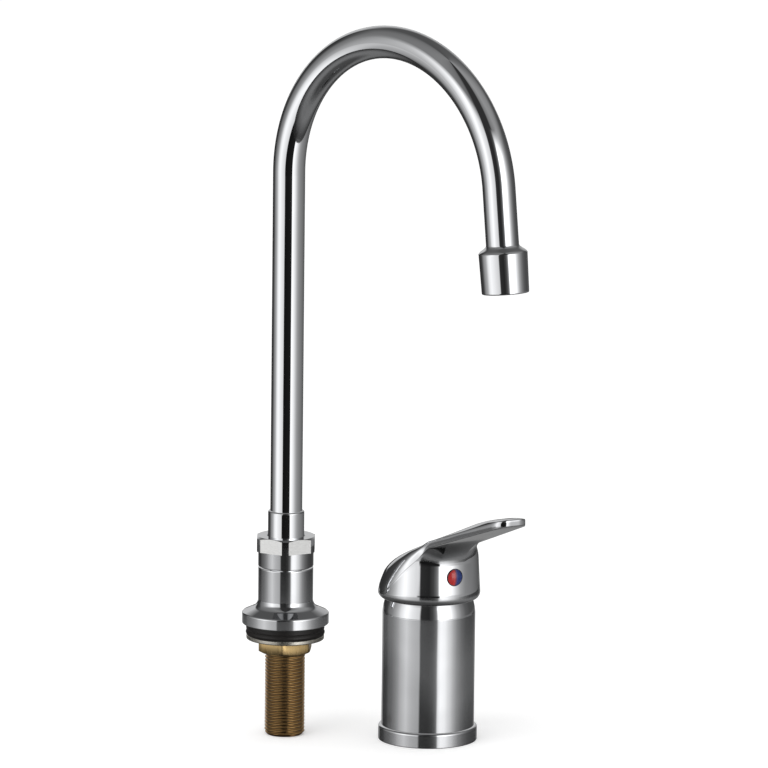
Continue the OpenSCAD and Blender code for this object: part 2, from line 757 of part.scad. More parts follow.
// Sliding disc: the channel in its underside joins the waterways as it moves
module moving_disc() {
    channel_r = port_circle_r - waterway_d / 2;
    color("ivory") at_lever() translate([0, 0, moving_disc_z]) difference() {
        cylinder(d = moving_disc_d, h = moving_disc_t);
        rotate(-100) rotate_extrude(angle = 200) translate([channel_r, -over])
            square([waterway_d, moving_disc_t / 2 + over]);
    }
}

// Slide on top of the disc: the stem's ball pushes it to and fro
module disc_carrier() {
    color("white") at_lever() difference() {
        translate([0, 0, moving_disc_top_z])
            cylinder(d = moving_disc_d, h = carrier_top_z - moving_disc_top_z);
        translate([0, 0, ball_z - ball_d / 2 - ball_gap])
            cylinder(r = ball_d / 2 + ball_gap, h = ball_d + 2 * ball_gap);
    }
}

// Stem: square top for the handle, a round eye on the pin, and a ball below
module lever_stem() {
    eye_r = 4.6;
    neck_d = 4.4;
    color("gray") at_lever() difference() {
        union() {
            translate([-stem_af / 2, -stem_af / 2, pivot_z])
                cube([stem_af, stem_af, stem_top_z - pivot_z]);
            translate([0, stem_af / 2, pivot_z]) rotate([90, 0, 0]) cylinder(r = eye_r, h = stem_af);
            translate([0, 0, ball_z]) cylinder(d = neck_d, h = ball_drop);
            translate([0, 0, ball_z]) sphere(d = ball_d);
        }
        translate([0, stem_af, pivot_z]) rotate([90, 0, 0])
            cylinder(d = pivot_pin_d + 2 * seat_gap, h = 2 * stem_af);
    }
}

// The handle's outer skin is one surface over the angle a from the lever's direction.
// Heights are above the rim, and s is the distance along the lever.

// Ridge line of the crown and the lever
function ridge(s) = crown_h + ridge_slope * s - 0.0003 * s * s;
// Height of the lower edge: low round the back of the drum, high along the lever
function edge_low(s) = mix(
    drum_edge_h,
    crown_h + lever_edge_rise + lever_edge_slope * (s - lever_root),
    edge_blend(s)
);
function edge_high(s) = edge_low(s) + mix(drum_edge_t, lever_edge_t, edge_blend(s));
// The edge climbs from the drum's height to the lever's on its way to the lever's root
function edge_blend(s) = ease((s - lever_root) / edge_climb + 1);
// Radius of the plan view: the drum's circle blended with the tapering lever
function lever_side(a) =
    (lever_tip_w + lever_taper * lever_reach) / 2 / max(sin(a) + lever_taper / 2 * cos(a), 0.2);
function lever_plan(a) =
    a < 80 ? pow(pow(lever_side(a), -10) + pow(lever_reach / cos(a), -10), -0.1) : 0;
function plan_r(a) = pow(pow(handle_r, 20) + pow(lever_plan(abs(a)), 20), 0.05);
// Height up to which the drum's side is straight
function side_top(a) =
    max(min(edge_low(plan_r(a) * cos(a)) - 0.4, crown_h - 3.5), 3.8);
function side_r(a) = handle_r - drum_draft * (side_top(a) - 3.3);
// Length of the hollow fillet under the lever, along the ray at angle a
function fillet_l(a) = min(under_fillet, 0.7 * (plan_r(a) - side_r(a)));
// Radius and height of a point on that fillet, t from the drum's side to the flat underside
function fillet_point(a, t) = [
    side_r(a) + fillet_l(a) * t,
    mix(side_top(a), edge_low((side_r(a) + fillet_l(a) * t) * cos(a)), sqrt(1 - pow(1 - t, 2)))
];
// Radius and height of a point on the lever's underside, t from the fillet to the edge
function under_point(a, t) =
    let (r = mix(side_r(a) + fillet_l(a), plan_r(a), t)) [r, edge_low(r * cos(a))];
// Radius and height of a point on the top, at the fraction f of the plan radius
function top_point(a, f) = [
    f * plan_r(a),
    ridge(f * plan_r(a) * cos(a))
        - (ridge(plan_r(a) * cos(a)) - edge_high(plan_r(a) * cos(a))) * pow(f, 5.8)
];
// One meridian of the skin, from the rim to just short of the crown
function meridian(a) = concat(
    [[handle_r - 3, 0], [handle_r - 1.5, 0.4], [handle_r - 0.5, 1.4], [handle_r, 3.6]],
    [[side_r(a), side_top(a)]],
    [for (t = [0.05, 0.2, 0.45, 0.75, 1]) fillet_point(a, t)],
    [for (t = [0.5, 1]) under_point(a, t)],
    [for (f = [0.996, 0.98, 0.95, 0.9, 0.82, 0.7, 0.5, 0.25]) top_point(a, f)]
);

module handle_skin() {
    // Meridians stand closer together round the lever than round the back
    count = 64;
    angles = [for (i = [0 : count - 1])
        let (t = 2 * i / count - 1) 180 * sign(t) * pow(abs(t), 1.6)];
    rows = [for (a = angles) [for (p = meridian(a)) [p[0] * cos(a), p[0] * sin(a), p[1]]]];
    per_row = len(rows[0]);
    points = concat([for (row = rows) for (p = row) p], [[0, 0, 0], [0, 0, ridge(0)]]);
    base = count * per_row;
    faces = [for (i = [0 : count - 1])
        let (here = i * per_row, next = ((i + 1) % count) * per_row)
        each concat(
            [[base, here, next]],
            [for (j = [0 : per_row - 2]) [here + j, here + j + 1, next + j]],
            [for (j = [0 : per_row - 2]) [here + j + 1, next + j + 1, next + j]],
            [[base + 1, next + per_row - 1, here + per_row - 1]]
        )];
    polyhedron(points = points, faces = faces, convexity = 6);
}

// Handle: the skin, hollowed by a sphere about the tilting axis, with a boss for the stem
module handle() {
    socket_af = stem_af + 2 * seat_gap;
    color("silver") at_lever() difference() {
        union() {
            difference() {
                translate([0, 0, rim_z]) handle_skin();
                translate([0, 0, pivot_z]) sphere(r = cavity_r);
            }
            translate([0, 0, boss_z]) cylinder(r = boss_r, h = pivot_z + cavity_r + 1 - boss_z);
        }
        translate([-socket_af / 2, -socket_af / 2, boss_z - over])
            cube([socket_af, socket_af, stem_top_z + 0.2 - boss_z + over]);
        translate([0, 0, index_z]) rotate([0, 90, 0]) {
            cylinder(d = set_screw_d + 2 * seat_gap, h = handle_r);
            translate([0, 0, index_bore_start]) cylinder(r = index_r + seat_gap, h = handle_r);
        }
    }
}

// Grub screw that clamps the stem, with its key socket toward the index plug
module set_screw() {
    start = stem_af / 2 + seat_gap;
    l = 9;
    key_af = 2.5;
    color("dimgray") at_lever() translate([start, 0, index_z]) rotate([0, 90, 0]) difference() {
        cylinder(d = set_screw_d, h = l);
        translate([0, 0, l - 2.5]) cylinder(d = key_af / cos(30), h = l, $fn = 6);
    }
}

// Plug in front of the grub screw: a thin rim round a shallow seat for the coloured halves
module index_plug() {
    start = index_bore_start + 0.2;
    edge = 0.4;
    color("lightgray") at_lever() translate([start, 0, index_z]) rotate([0, 90, 0])
        rotate_extrude() polygon([
            [0, 0], [index_r, 0], [index_r, index_front - start - edge],
            [index_r - edge, index_front - start], [index_inlay_r + seat_gap, index_front - start],
            [index_inlay_r + seat_gap, index_front - start - index_inlay_t + 0.2],
            [0, index_front - start - index_inlay_t + 0.2]
        ]);
}

// Half of the domed inlay: side -1 is the hot half and side 1 the cold half
module index_half(side) {
    inlay_h = index_inlay_t + index_dome_h;
    dome_r = (pow(index_inlay_r, 2) + pow(index_dome_h, 2)) / 2 / index_dome_h;
    at_lever() translate([index_front - index_inlay_t + 0.2, 0, index_z]) rotate([0, 90, 0])
        intersection() {
            cylinder(r = index_inlay_r, h = inlay_h);
            translate([0, 0, inlay_h - dome_r]) sphere(r = dome_r);
            translate([-index_d, side > 0 ? seat_gap : -index_d - seat_gap, -over])
                cube([2 * index_d, index_d, inlay_h + 2 * over]);
        }
}

module index_red() {
    color("red") index_half(-1);
}

module index_blue() {
    color("royalblue") index_half(1);
}

threaded_shank();
lock_nut();
lock_washer();
lower_gasket();
upper_gasket();
base_body();
coupling_nut();
slip_washer();
tail_piece();
spigot_o_rings();
spout_tube();
outlet_nozzle();
aerator_gasket();
aerator_strainer();
aerator_housing();
mixer_base_ring();
mixer_base_seal();
mixer_body();
bonnet_dome();
clamp_nut();
cartridge_housing();
cartridge_base();
cartridge_seals();
fixed_disc();
turn_bush();
pivot_pin();
moving_disc();
disc_carrier();
lever_stem();
handle();
set_screw();
index_plug();
index_red();
index_blue();
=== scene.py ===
# %% [markdown]
# # A commercial kitchen faucet, dressed in Blender
# The CAD model gives every piece its real size and place. This notebook gives the faucet the
# looks of the real one: mirror chrome, cut brass threads, black rubber and a coloured index.
# Polished metal has hardly any colour of its own. It shows the studio, so the studio is built
# with as much care as the metal.

import bpy
import bmesh
import json
import math
from mathutils import Matrix, Vector

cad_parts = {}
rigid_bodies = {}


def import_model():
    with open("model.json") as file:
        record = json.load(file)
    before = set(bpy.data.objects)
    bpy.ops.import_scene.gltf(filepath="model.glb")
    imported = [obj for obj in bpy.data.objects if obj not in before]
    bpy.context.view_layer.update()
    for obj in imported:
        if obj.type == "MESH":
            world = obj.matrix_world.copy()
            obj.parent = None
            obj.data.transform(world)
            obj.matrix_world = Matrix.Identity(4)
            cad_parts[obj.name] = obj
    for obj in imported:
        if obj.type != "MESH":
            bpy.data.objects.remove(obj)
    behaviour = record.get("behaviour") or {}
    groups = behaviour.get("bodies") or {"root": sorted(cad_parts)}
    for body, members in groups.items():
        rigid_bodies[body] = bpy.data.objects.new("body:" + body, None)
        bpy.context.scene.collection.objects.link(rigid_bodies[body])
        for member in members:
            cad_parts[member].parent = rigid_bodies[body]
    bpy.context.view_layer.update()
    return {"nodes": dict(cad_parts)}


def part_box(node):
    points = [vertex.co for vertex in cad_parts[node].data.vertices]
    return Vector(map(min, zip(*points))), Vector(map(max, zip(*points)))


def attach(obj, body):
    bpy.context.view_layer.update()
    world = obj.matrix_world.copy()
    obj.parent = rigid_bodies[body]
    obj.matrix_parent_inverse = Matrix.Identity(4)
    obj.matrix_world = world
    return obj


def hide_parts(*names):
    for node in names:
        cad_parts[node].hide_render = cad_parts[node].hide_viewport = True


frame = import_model()
MM = 0.001
print("CAD nodes:", len(frame["nodes"]))

# %% [markdown]
# ## The view
# Product pictures of tall faucets are taken from far away with a long lens, so that upright
# lines stay parallel. The camera stands 3.6 m away and looks down by about ten degrees.

# %% Camera
CAMERA_AZIMUTH = math.radians(5.3)
CAMERA_PITCH = math.radians(10.27)
CAMERA_ROLL = math.radians(0.63)
CAMERA_DISTANCE = 3.6
SENSOR_WIDTH = 36
LENS_LENGTH = 328.1
LOOK_AT = Vector((0.0495, 0.0046, 0.1847))


def in_scene(name, data):
    """Makes an object from its data and links it to the scene."""
    obj = bpy.data.objects.new(name, data)
    bpy.context.scene.collection.objects.link(obj)
    return obj


def facing(spot, direction):
    """Puts a camera or a lamp on a spot and turns it along a direction."""
    return Matrix.Translation(spot) @ direction.to_track_quat("-Z", "Y").to_matrix().to_4x4()


across = Vector((math.cos(CAMERA_AZIMUTH), math.sin(CAMERA_AZIMUTH), 0))
away = Vector((-math.sin(CAMERA_AZIMUTH), math.cos(CAMERA_AZIMUTH), 0))
view_line = away * math.cos(CAMERA_PITCH) - Vector((0, 0, 1)) * math.sin(CAMERA_PITCH)

camera_data = bpy.data.cameras.new("view_camera")
camera_data.sensor_width = SENSOR_WIDTH
camera_data.lens = LENS_LENGTH
camera = in_scene("view_camera", camera_data)
camera.matrix_world = (facing(LOOK_AT - view_line * CAMERA_DISTANCE, view_line)
                       @ Matrix.Rotation(CAMERA_ROLL, 4, "Z"))
bpy.context.scene.camera = camera
print("camera stands at", [round(c, 3) for c in camera.matrix_world.translation])

# %% [markdown]
# ## Node helpers
# Materials, the studio and the Geometry Nodes trees are all built from nodes. A few small
# helpers keep that readable: one adds a node with its values and links, one does a sum with a
# Math node, and the others turn a number into a colour or mix two colours.

# %% Node helpers
MIX_FACTOR = 0
MIX_FIRST = 6
MIX_SECOND = 7
MIX_RESULT = 2


def add_node(tree, kind, values=None, **settings):
    """Adds a node. A value that is a socket of another node is linked, any other one is set."""
    node = tree.nodes.new(kind)
    for key, value in settings.items():
        setattr(node, key, value)
    for key, value in (values or {}).items():
        if isinstance(value, bpy.types.NodeSocket):
            tree.links.new(value, node.inputs[key])
        else:
            node.inputs[key].default_value = value
    return node


def math_node(tree, operation, a, b=None, c=None, clamp=False):
    terms = {i: term for i, term in enumerate((a, b, c)) if term is not None}
    return add_node(tree, "ShaderNodeMath", terms, operation=operation, use_clamp=clamp).outputs[0]


def ramp_node(tree, factor, stops):
    """Colour ramp with a stop at each of the given positions."""
    node = add_node(tree, "ShaderNodeValToRGB", {"Fac": factor})
    elements = node.color_ramp.elements
    while len(elements) > 1:
        elements.remove(elements[-1])
    for i, (position, colour) in enumerate(stops):
        element = elements[0] if i == 0 else elements.new(position)
        element.position = position
        element.color = (*colour, 1)
    return node.outputs["Color"]


def mix_colour(tree, factor, first, second):
    """Mixes two colours. The Mix node has its colour sockets after those for plain numbers."""
    node = add_node(tree, "ShaderNodeMix",
                    {MIX_FACTOR: factor, MIX_FIRST: first, MIX_SECOND: second}, data_type="RGBA")
    return node.outputs[MIX_RESULT]


def grey(level):
    return (level, level, level)


print("the Mix node's sockets were counted in Blender 4.5, and this is", bpy.app.version_string)

# %% [markdown]
# ## The studio that the chrome shows
# On a chromed tube the studio becomes upright stripes. A dark gap toward the camera gives the
# dark band in the middle, a soft box on each side gives the white bands, and the unlit room
# behind gives the dark edges. The stripes differ below the horizon, above it and overhead, and
# a dim wall stands behind the faucet. The levels are estimates: the greys of the photo, read
# at points across the tube, the dome and the body, say how bright the studio was in the
# direction that each point mirrors, and trial renders then corrected them. The world holds
# that studio for glossy rays only, as brightness over the compass angle. Every other ray sees
# plain soft white light, so rubber, plastic and the floor are lit evenly.

# %% Studio brightness
BELOW_HORIZON = [(-180, 0.05), (-140, 0.03), (-123, 0.06), (-105, 0.3), (-92, 0.42), (-78, 0.9),
                 (-66, 1.06), (-50, 0.9), (-38, 0.78), (-30, 0.72), (-27, 0.006), (23, 0.012),
                 (25, 1.2), (40, 1.0), (49, 0.82), (62, 0.52), (74, 0.34), (90, 0.25),
                 (105, 0.21), (140, 0.12), (180, 0.05)]
ABOVE_HORIZON = [(-180, 0.03), (-146, 0.03), (-128, 0.05), (-117, 0.16), (-103, 0.23),
                 (-91, 0.38), (-82, 0.55), (-75, 0.78), (-65, 1.0), (-57, 1.15), (-50, 1.0),
                 (-41, 0.85), (-31, 0.75), (-24, 0.7), (-20, 0.03), (0, 0.02), (10, 0.06),
                 (16, 0.15), (20, 0.3), (24, 1.6), (30, 2.0), (41, 1.85), (50, 1.4), (57, 1.15),
                 (64, 0.8), (75, 0.43), (89, 0.22), (104, 0.11), (123, 0.07), (150, 0.07),
                 (180, 0.03)]
OVERHEAD = [(-180, 0.08), (-150, 0.08), (-120, 0.16), (-60, 0.22), (-30, 0.15), (-20, 0.03),
            (24, 0.03), (36, 0.2), (70, 0.3), (110, 0.25), (150, 0.1), (180, 0.08)]
BACK_WALL = [(-180, 0.5), (-157, 0.5), (-150, 0), (150, 0), (158, 0.25), (180, 0.5)]
STUDIO_PEAK = 3.0
print("studio stripes:", len(BELOW_HORIZON), "below and", len(ABOVE_HORIZON), "above")

# %% Direction of a ray
world = bpy.data.worlds.new("studio")
bpy.context.scene.world = world
world.use_nodes = True
world.cycles.sampling_method = "NONE"
sky = world.node_tree
sky.nodes.clear()
direction = add_node(sky, "ShaderNodeTexCoord").outputs["Generated"]
height = add_node(sky, "ShaderNodeSeparateXYZ", {0: direction}).outputs["Z"]


def along(axis):
    return add_node(sky, "ShaderNodeVectorMath", {0: direction, 1: axis},
                    operation="DOT_PRODUCT").outputs["Value"]


angle = math_node(sky, "ARCTAN2", along(across), along(-away))
turn_part = math_node(sky, "MULTIPLY_ADD", angle, 1 / (2 * math.pi), 0.5)
print("nodes that find where a ray points:", len(sky.nodes))

# %% Studio
HORIZON = (-0.15, -0.1)
CEILING = (0.36, 0.62)
WALL_FOOT = (-0.03, 0.01)
WALL_HEAD = (0.76, 0.68)
ROOM_LIGHT = 0.85
BACKDROP_LIGHT = 1.0
WHITE = (1, 1, 1, 1)


def stripes(brightness):
    """Ramp over the compass angle. A ramp ends at 1, so the peak is put back by the strength."""
    return ramp_node(sky, turn_part, [((degrees + 180) / 360, grey(level / STUDIO_PEAK))
                                      for degrees, level in brightness])


def past(heights):
    """Goes from 0 to 1 between the first and the second height of a ray's direction."""
    return add_node(sky, "ShaderNodeMapRange", {
        "Value": height, "From Min": heights[0], "From Max": heights[1]}).outputs[0]


def backdrop(colour, strength):
    return add_node(sky, "ShaderNodeBackground", {"Color": colour, "Strength": strength}).outputs[0]


def by_ray(tree, kind, others, wanted):
    """Gives one look to rays of one kind and another look to all the others."""
    is_kind = add_node(tree, "ShaderNodeLightPath").outputs[kind]
    return add_node(tree, "ShaderNodeMixShader", {0: is_kind, 1: others, 2: wanted}).outputs[0]


in_wall = math_node(sky, "MULTIPLY", past(WALL_FOOT), past(WALL_HEAD))
wall_light = add_node(sky, "ShaderNodeVectorMath", {0: stripes(BACK_WALL), "Scale": in_wall},
                      operation="SCALE").outputs[0]
upper = add_node(sky, "ShaderNodeVectorMath", {0: stripes(ABOVE_HORIZON), 1: wall_light},
                 operation="ADD").outputs[0]
round_about = mix_colour(sky, past(HORIZON), stripes(BELOW_HORIZON), upper)
studio = mix_colour(sky, past(CEILING), round_about, stripes(OVERHEAD))
light = by_ray(sky, "Is Glossy Ray", backdrop(WHITE, ROOM_LIGHT), backdrop(studio, STUDIO_PEAK))
whole = by_ray(sky, "Is Camera Ray", light, backdrop(WHITE, BACKDROP_LIGHT))
add_node(sky, "ShaderNodeOutputWorld", {"Surface": whole})
print("studio nodes:", len(sky.nodes))

# %% [markdown]
# ## Floor and soft lamp
# The floor is pale for the camera and keeps the faucet's soft shadow. The lower half of every
# upright tube mirrors the table it was photographed on, which was dark and glossy and ended
# half a metre away. So for glossy rays the floor is that table, and past its edge it lets the
# ray through to the studio. The table's colour is darker close to the faucet, a painted shade
# of the faucet on it, and darker again toward its edge. A wide lamp at the upper left gives the
# soft shadow, and the mirrors don't show it.

# %% Floor for the camera
FLOOR_HALF = 6.0
PAPER = (0.93, 0.93, 0.93, 1)
PAPER_GLOW = 0.24

floor_mesh = bpy.data.meshes.new("floor")
corners = [(-FLOOR_HALF, -FLOOR_HALF, 0), (FLOOR_HALF, -FLOOR_HALF, 0),
           (FLOOR_HALF, FLOOR_HALF, 0), (-FLOOR_HALF, FLOOR_HALF, 0)]
floor_mesh.from_pydata(corners, [], [(0, 1, 2, 3)])
floor = in_scene("floor", floor_mesh)
floor_paint = bpy.data.materials.new("floor_paint")
floor_paint.use_nodes = True
paint = floor_paint.node_tree
paint.nodes.clear()
paper = add_node(paint, "ShaderNodeBsdfDiffuse", {"Color": PAPER}).outputs[0]
glow = add_node(paint, "ShaderNodeEmission", {"Color": WHITE, "Strength": PAPER_GLOW}).outputs[0]
bright_paper = add_node(paint, "ShaderNodeAddShader", {0: paper, 1: glow}).outputs[0]
pale = by_ray(paint, "Is Camera Ray", paper, bright_paper)
print("floor reaches", FLOOR_HALF, "m each way")

# %% Table for the mirrors
TABLE_R = 0.5
# Grey of the table over the distance from the spout's axis: darker close to the faucet as a painted
# shade, then darker again toward the edge.
TABLE_TONE_AND_PAINTED_SHADE = [(0.12, 0.06), (0.2, 0.16), (0.28, 0.16), (0.38, 0.07), (0.44, 0.02)]
LACQUER_COLOUR = (0.95, 0.95, 0.95, 1)
LACQUER_HAZE = 0.03
LACQUER_INDEX = 1.5
LACQUER_GAIN = 1.7

spot = add_node(paint, "ShaderNodeTexCoord").outputs["Object"]
off_middle = add_node(paint, "ShaderNodeVectorMath", {0: spot}, operation="LENGTH").outputs["Value"]
# Painted shade: the table's grey drops close to the faucet.
table_tone_and_painted_shade = ramp_node(paint, off_middle, [(place, grey(level)) for place, level in TABLE_TONE_AND_PAINTED_SHADE])
dark = add_node(paint, "ShaderNodeBsdfDiffuse", {"Color": table_tone_and_painted_shade}).outputs[0]
gloss = add_node(paint, "ShaderNodeBsdfAnisotropic",
                 {"Color": LACQUER_COLOUR, "Roughness": LACQUER_HAZE}).outputs[0]
fresnel = add_node(paint, "ShaderNodeFresnel", {"IOR": LACQUER_INDEX}).outputs[0]
lacquer = math_node(paint, "MULTIPLY", fresnel, LACQUER_GAIN, clamp=True)
table = add_node(paint, "ShaderNodeMixShader", {0: lacquer, 1: dark, 2: gloss}).outputs[0]
clear = add_node(paint, "ShaderNodeBsdfTransparent").outputs[0]
on_table = math_node(paint, "LESS_THAN", off_middle, TABLE_R)
mirrored = add_node(paint, "ShaderNodeMixShader", {0: on_table, 1: clear, 2: table}).outputs[0]
floor_look = by_ray(paint, "Is Glossy Ray", pale, mirrored)
add_node(paint, "ShaderNodeOutputMaterial", {"Surface": floor_look})
floor_mesh.materials.append(floor_paint)
print("table reaches", TABLE_R, "m from the spout's axis")

# %% Soft lamp
LAMP_SIZE = 1.4
LAMP_ENERGY = 9
LAMP_SPOT = Vector((-0.7, -1.0, 1.7))
LAMP_TARGET = Vector((0.04, -0.02, 0.1))

lamp_data = bpy.data.lights.new("soft_box", "AREA")
lamp_data.shape = "DISK"
lamp_data.size = LAMP_SIZE
lamp_data.energy = LAMP_ENERGY
lamp = in_scene("soft_box", lamp_data)
lamp.matrix_world = facing(LAMP_SPOT, LAMP_TARGET - LAMP_SPOT)
lamp.visible_glossy = False
bpy.context.scene.view_settings.view_transform = "Standard"
print("lamp at", tuple(LAMP_SPOT))

# %% [markdown]
# ## Chrome
# Chrome plate is a nearly colourless mirror, a little bluer than silver. The metal under it is
# never perfectly flat, and that bends the edges of the stripes slightly. A slow noise gives
# that swell, and a finer one gives the faint haze that hands leave. A noise mostly stays
# between 0.3 and 0.7, so a range that follows a noise starts and ends there.

# %% Material helpers
NOISE_LOW = 0.3
NOISE_HIGH = 0.7


def new_material(name, metallic=0):
    material = bpy.data.materials.new(name)
    material.use_nodes = True
    tree = material.node_tree
    shader = tree.nodes["Principled BSDF"]
    shader.inputs["Metallic"].default_value = metallic
    print("material:", name)
    return material, tree, shader


def object_point(tree, stretch=(1, 1, 1)):
    """Place on the piece. A stretch of its own for each axis gives marks a direction."""
    place = add_node(tree, "ShaderNodeTexCoord").outputs["Object"]
    return add_node(tree, "ShaderNodeMapping", {"Vector": place, "Scale": stretch}).outputs[0]


def noise(tree, point, scale, detail):
    return add_node(tree, "ShaderNodeTexNoise",
                    {"Vector": point, "Scale": scale, "Detail": detail}).outputs["Fac"]


def set_range(tree, value, low, high):
    """Spreads a noise over the range from low to high."""
    return add_node(tree, "ShaderNodeMapRange",
                    {"Value": value, "From Min": NOISE_LOW, "From Max": NOISE_HIGH,
                     "To Min": low, "To Max": high}).outputs[0]


def two_shades(tree, value, first, second):
    return ramp_node(tree, value, [(NOISE_LOW, first), (NOISE_HIGH, second)])


def darker(colour, share):
    return [part * share for part in colour]


def wire(tree, shader, shade, roughness, relief, depth):
    """Links a colour and a roughness to the shader, and a relief of the given depth in metres."""
    tree.links.new(shade, shader.inputs["Base Color"])
    tree.links.new(roughness, shader.inputs["Roughness"])
    bump = add_node(tree, "ShaderNodeBump", {"Height": relief, "Distance": depth, "Strength": 1})
    tree.links.new(bump.outputs["Normal"], shader.inputs["Normal"])


# %% Polished chrome
CHROME_TINT = (0.93, 0.94, 0.96)
CHROME_HAZE = (0.02, 0.05)


def polished_chrome(name, swell):
    material, tree, shader = new_material(name, metallic=1)
    point = object_point(tree)
    shade = two_shades(tree, noise(tree, point, 25, 3), darker(CHROME_TINT, 0.96), CHROME_TINT)
    smear = set_range(tree, noise(tree, point, 90, 4), *CHROME_HAZE)
    wire(tree, shader, shade, smear, noise(tree, point, 45, 1), swell)
    return material


CHROME = polished_chrome("polished_chrome", 0.00006)
CHROME_CAST = polished_chrome("polished_chrome_casting", 0.00012)

# %% [markdown]
# ## Turned pieces
# Almost every piece of a faucet is turned on a lathe: one outline, swept once round. The
# outline is a list of corners, each with its rounding. A mirror finish shows every error of
# the normals, so each straight run gets a holding point next to its ends. Without them the
# rounding of an edge would bend the reflection of the whole wall.

# %% Outlines with rounded corners
HOLD = 0.12
ROUND_STEPS = 6
NEARLY_STRAIGHT = math.radians(89)
MOST_OF_A_SIDE = 0.45


def round_corner(before, here, after, radius):
    """Puts an arc in place of a corner, smaller where a side is too short for its radius."""
    back = before - here
    on = after - here
    room = MOST_OF_A_SIDE * min(back.length, on.length)
    back.normalize()
    on.normalize()
    half = back.angle(on) / 2
    if radius <= 0 or half > NEARLY_STRAIGHT:
        return [here]
    run = min(radius / math.tan(half), room)
    centre = here + (back + on).normalized() * (run * math.tan(half) / math.sin(half))
    first = here + back * run
    last = here + on * run
    sweep = (first - centre).angle_signed(last - centre)
    return [centre + Matrix.Rotation(-sweep * i / ROUND_STEPS, 2) @ (first - centre)
            for i in range(ROUND_STEPS + 1)]


def held(loop):
    """Adds a holding point next to both ends of each long straight run of a closed outline."""
    result = []
    for i, point in enumerate(loop):
        start = Vector(point)
        end = Vector(loop[(i + 1) % len(loop)])
        result.append(point)
        if (end - start).length > 5 * HOLD:
            step = (end - start).normalized() * HOLD
            result += [tuple(start + step), tuple(end - step)]
    return result


def outline(corners):
    """Rounded outline from (radius, height, rounding) in millimetres, as a closed loop."""
    spots = [Vector(corner[:2]) for corner in corners]
    points = []
    for i, corner in enumerate(corners):
        rounding = corner[2] if len(corner) > 2 else 0
        points += round_corner(spots[i - 1], spots[i], spots[(i + 1) % len(spots)], rounding)
    return held([(point.x, point.y) for point in points])


sample = [(1, 0), (2, 0, 0.2), (2, 1), (1, 1)]
print("points of a square with one round corner:", len(outline(sample)))

# %% Sweeping an outline
SIDES = 144
ON_AXIS = 1e-6
SHARP_ANGLE = 32


def polar(radius, angle, level):
    return radius * math.cos(angle), radius * math.sin(angle), level


def join_rings(bm, rings):
    """Fills the skin between each ring of points and the next. A ring of one point is a pole."""
    for i, ring in enumerate(rings):
        after = rings[(i + 1) % len(rings)]
        sides = max(len(ring), len(after))
        if sides == 1:
            continue
        for k in range(sides):
            j = (k + 1) % sides
            if len(ring) == 1:
                bm.faces.new((ring[0], after[j], after[k]))
            elif len(after) == 1:
                bm.faces.new((ring[k], ring[j], after[0]))
            else:
                bm.faces.new((ring[k], ring[j], after[j], after[k]))


def turned_bmesh(loop, sides=SIDES):
    """Sweeps a closed loop of (radius, height) once round the Z axis."""
    bm = bmesh.new()
    rings = []
    for radius, level in loop:
        angles = [2 * math.pi * k / sides for k in range(sides)] if radius > ON_AXIS else [0]
        rings.append([bm.verts.new(polar(radius, angle, level)) for angle in angles])
    join_rings(bm, rings)
    return bm


def crisp(obj, sharp=SHARP_ANGLE):
    """Shades a piece smooth, but not across edges that are sharper than the angle."""
    obj.data.shade_smooth()
    obj.data.set_sharp_from_angle(angle=math.radians(sharp))
    return obj


def finish_mesh(bm, name, sharp=SHARP_ANGLE):
    """Turns bmesh data in millimetres into an object with outward normals and crisp edges."""
    bmesh.ops.scale(bm, verts=bm.verts, vec=(MM, MM, MM))
    bmesh.ops.recalc_face_normals(bm, faces=bm.faces)
    mesh = bpy.data.meshes.new(name)
    bm.to_mesh(mesh)
    bm.free()
    return crisp(in_scene(name, mesh), sharp)


def lathe(name, corners, place=Matrix.Identity(4), sides=SIDES):
    obj = finish_mesh(turned_bmesh(outline(corners), sides), name)
    obj.data.transform(place)
    return obj


trial = turned_bmesh(outline(sample))
print("faces of that square swept round:", len(trial.faces))
trial.free()

# %% Dressing a piece
def dress(obj, material, body, slot, *nodes):
    """Gives a finished piece its material, hangs it on its body and hides the CAD nodes it
    replaces.
    """
    obj.data.materials.clear()
    obj.data.materials.append(material)
    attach(obj, body)
    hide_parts(*nodes)
    print(obj.name, "has", len(obj.data.polygons), "faces and rides on", body)
    return obj


# %% [markdown]
# ## Levels of the spout unit
# Sizes come from the CAD nodes, so a piece made here always fits its neighbours. The box of a
# node gives its largest radius and its two levels.

# %% Spout unit levels
def levels(node):
    lowest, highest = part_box(node)
    return lowest[2] / MM, highest[2] / MM


def reach(node):
    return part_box(node)[1][0] / MM


SHANK_R = reach("threaded_shank")
SHANK_TOP = levels("threaded_shank")[1]
NUT_LOW, NUT_TOP = levels("lock_nut")
WASHER_LOW, WASHER_TOP = levels("lock_washer")
FLANGE_LOW, BODY_TOP = levels("base_body")
FLANGE_R = reach("base_body")
COUPLING_LOW = levels("coupling_nut")[0]
TAIL_LOW, TAIL_TOP = levels("tail_piece")
WASHER_BORE_R = SHANK_R + 0.27
print("shank r", round(SHANK_R, 3), "flange from", round(FLANGE_LOW, 2), "to", round(BODY_TOP, 2))

# %% [markdown]
# ## Threaded shank
# The shank is a brass pipe with a pipe thread over its whole length: fourteen turns to the
# inch, with rounded crests and roots. A Geometry Nodes tree works like the thread cutter. It
# takes the turned blank and moves each point inward to the thread's radius at its height and
# angle, so the thread is one unbroken helix and the blank stays closed.

# %% Geometry Nodes helpers
FLOAT = "NodeSocketFloat"
INTEGER = "NodeSocketInt"
MATERIAL = "NodeSocketMaterial"


def new_tree(name, sockets):
    """Starts a tree with the given inputs. Returns it with its first and its last node."""
    tree = bpy.data.node_groups.new(name, "GeometryNodeTree")
    tree.interface.new_socket("Geometry", in_out="INPUT", socket_type="NodeSocketGeometry")
    for label, kind in sockets:
        tree.interface.new_socket(label, in_out="INPUT", socket_type=kind)
    tree.interface.new_socket("Geometry", in_out="OUTPUT", socket_type="NodeSocketGeometry")
    print("tree", name, "takes", [label for label, kind in sockets])
    return tree, add_node(tree, "NodeGroupInput"), add_node(tree, "NodeGroupOutput")


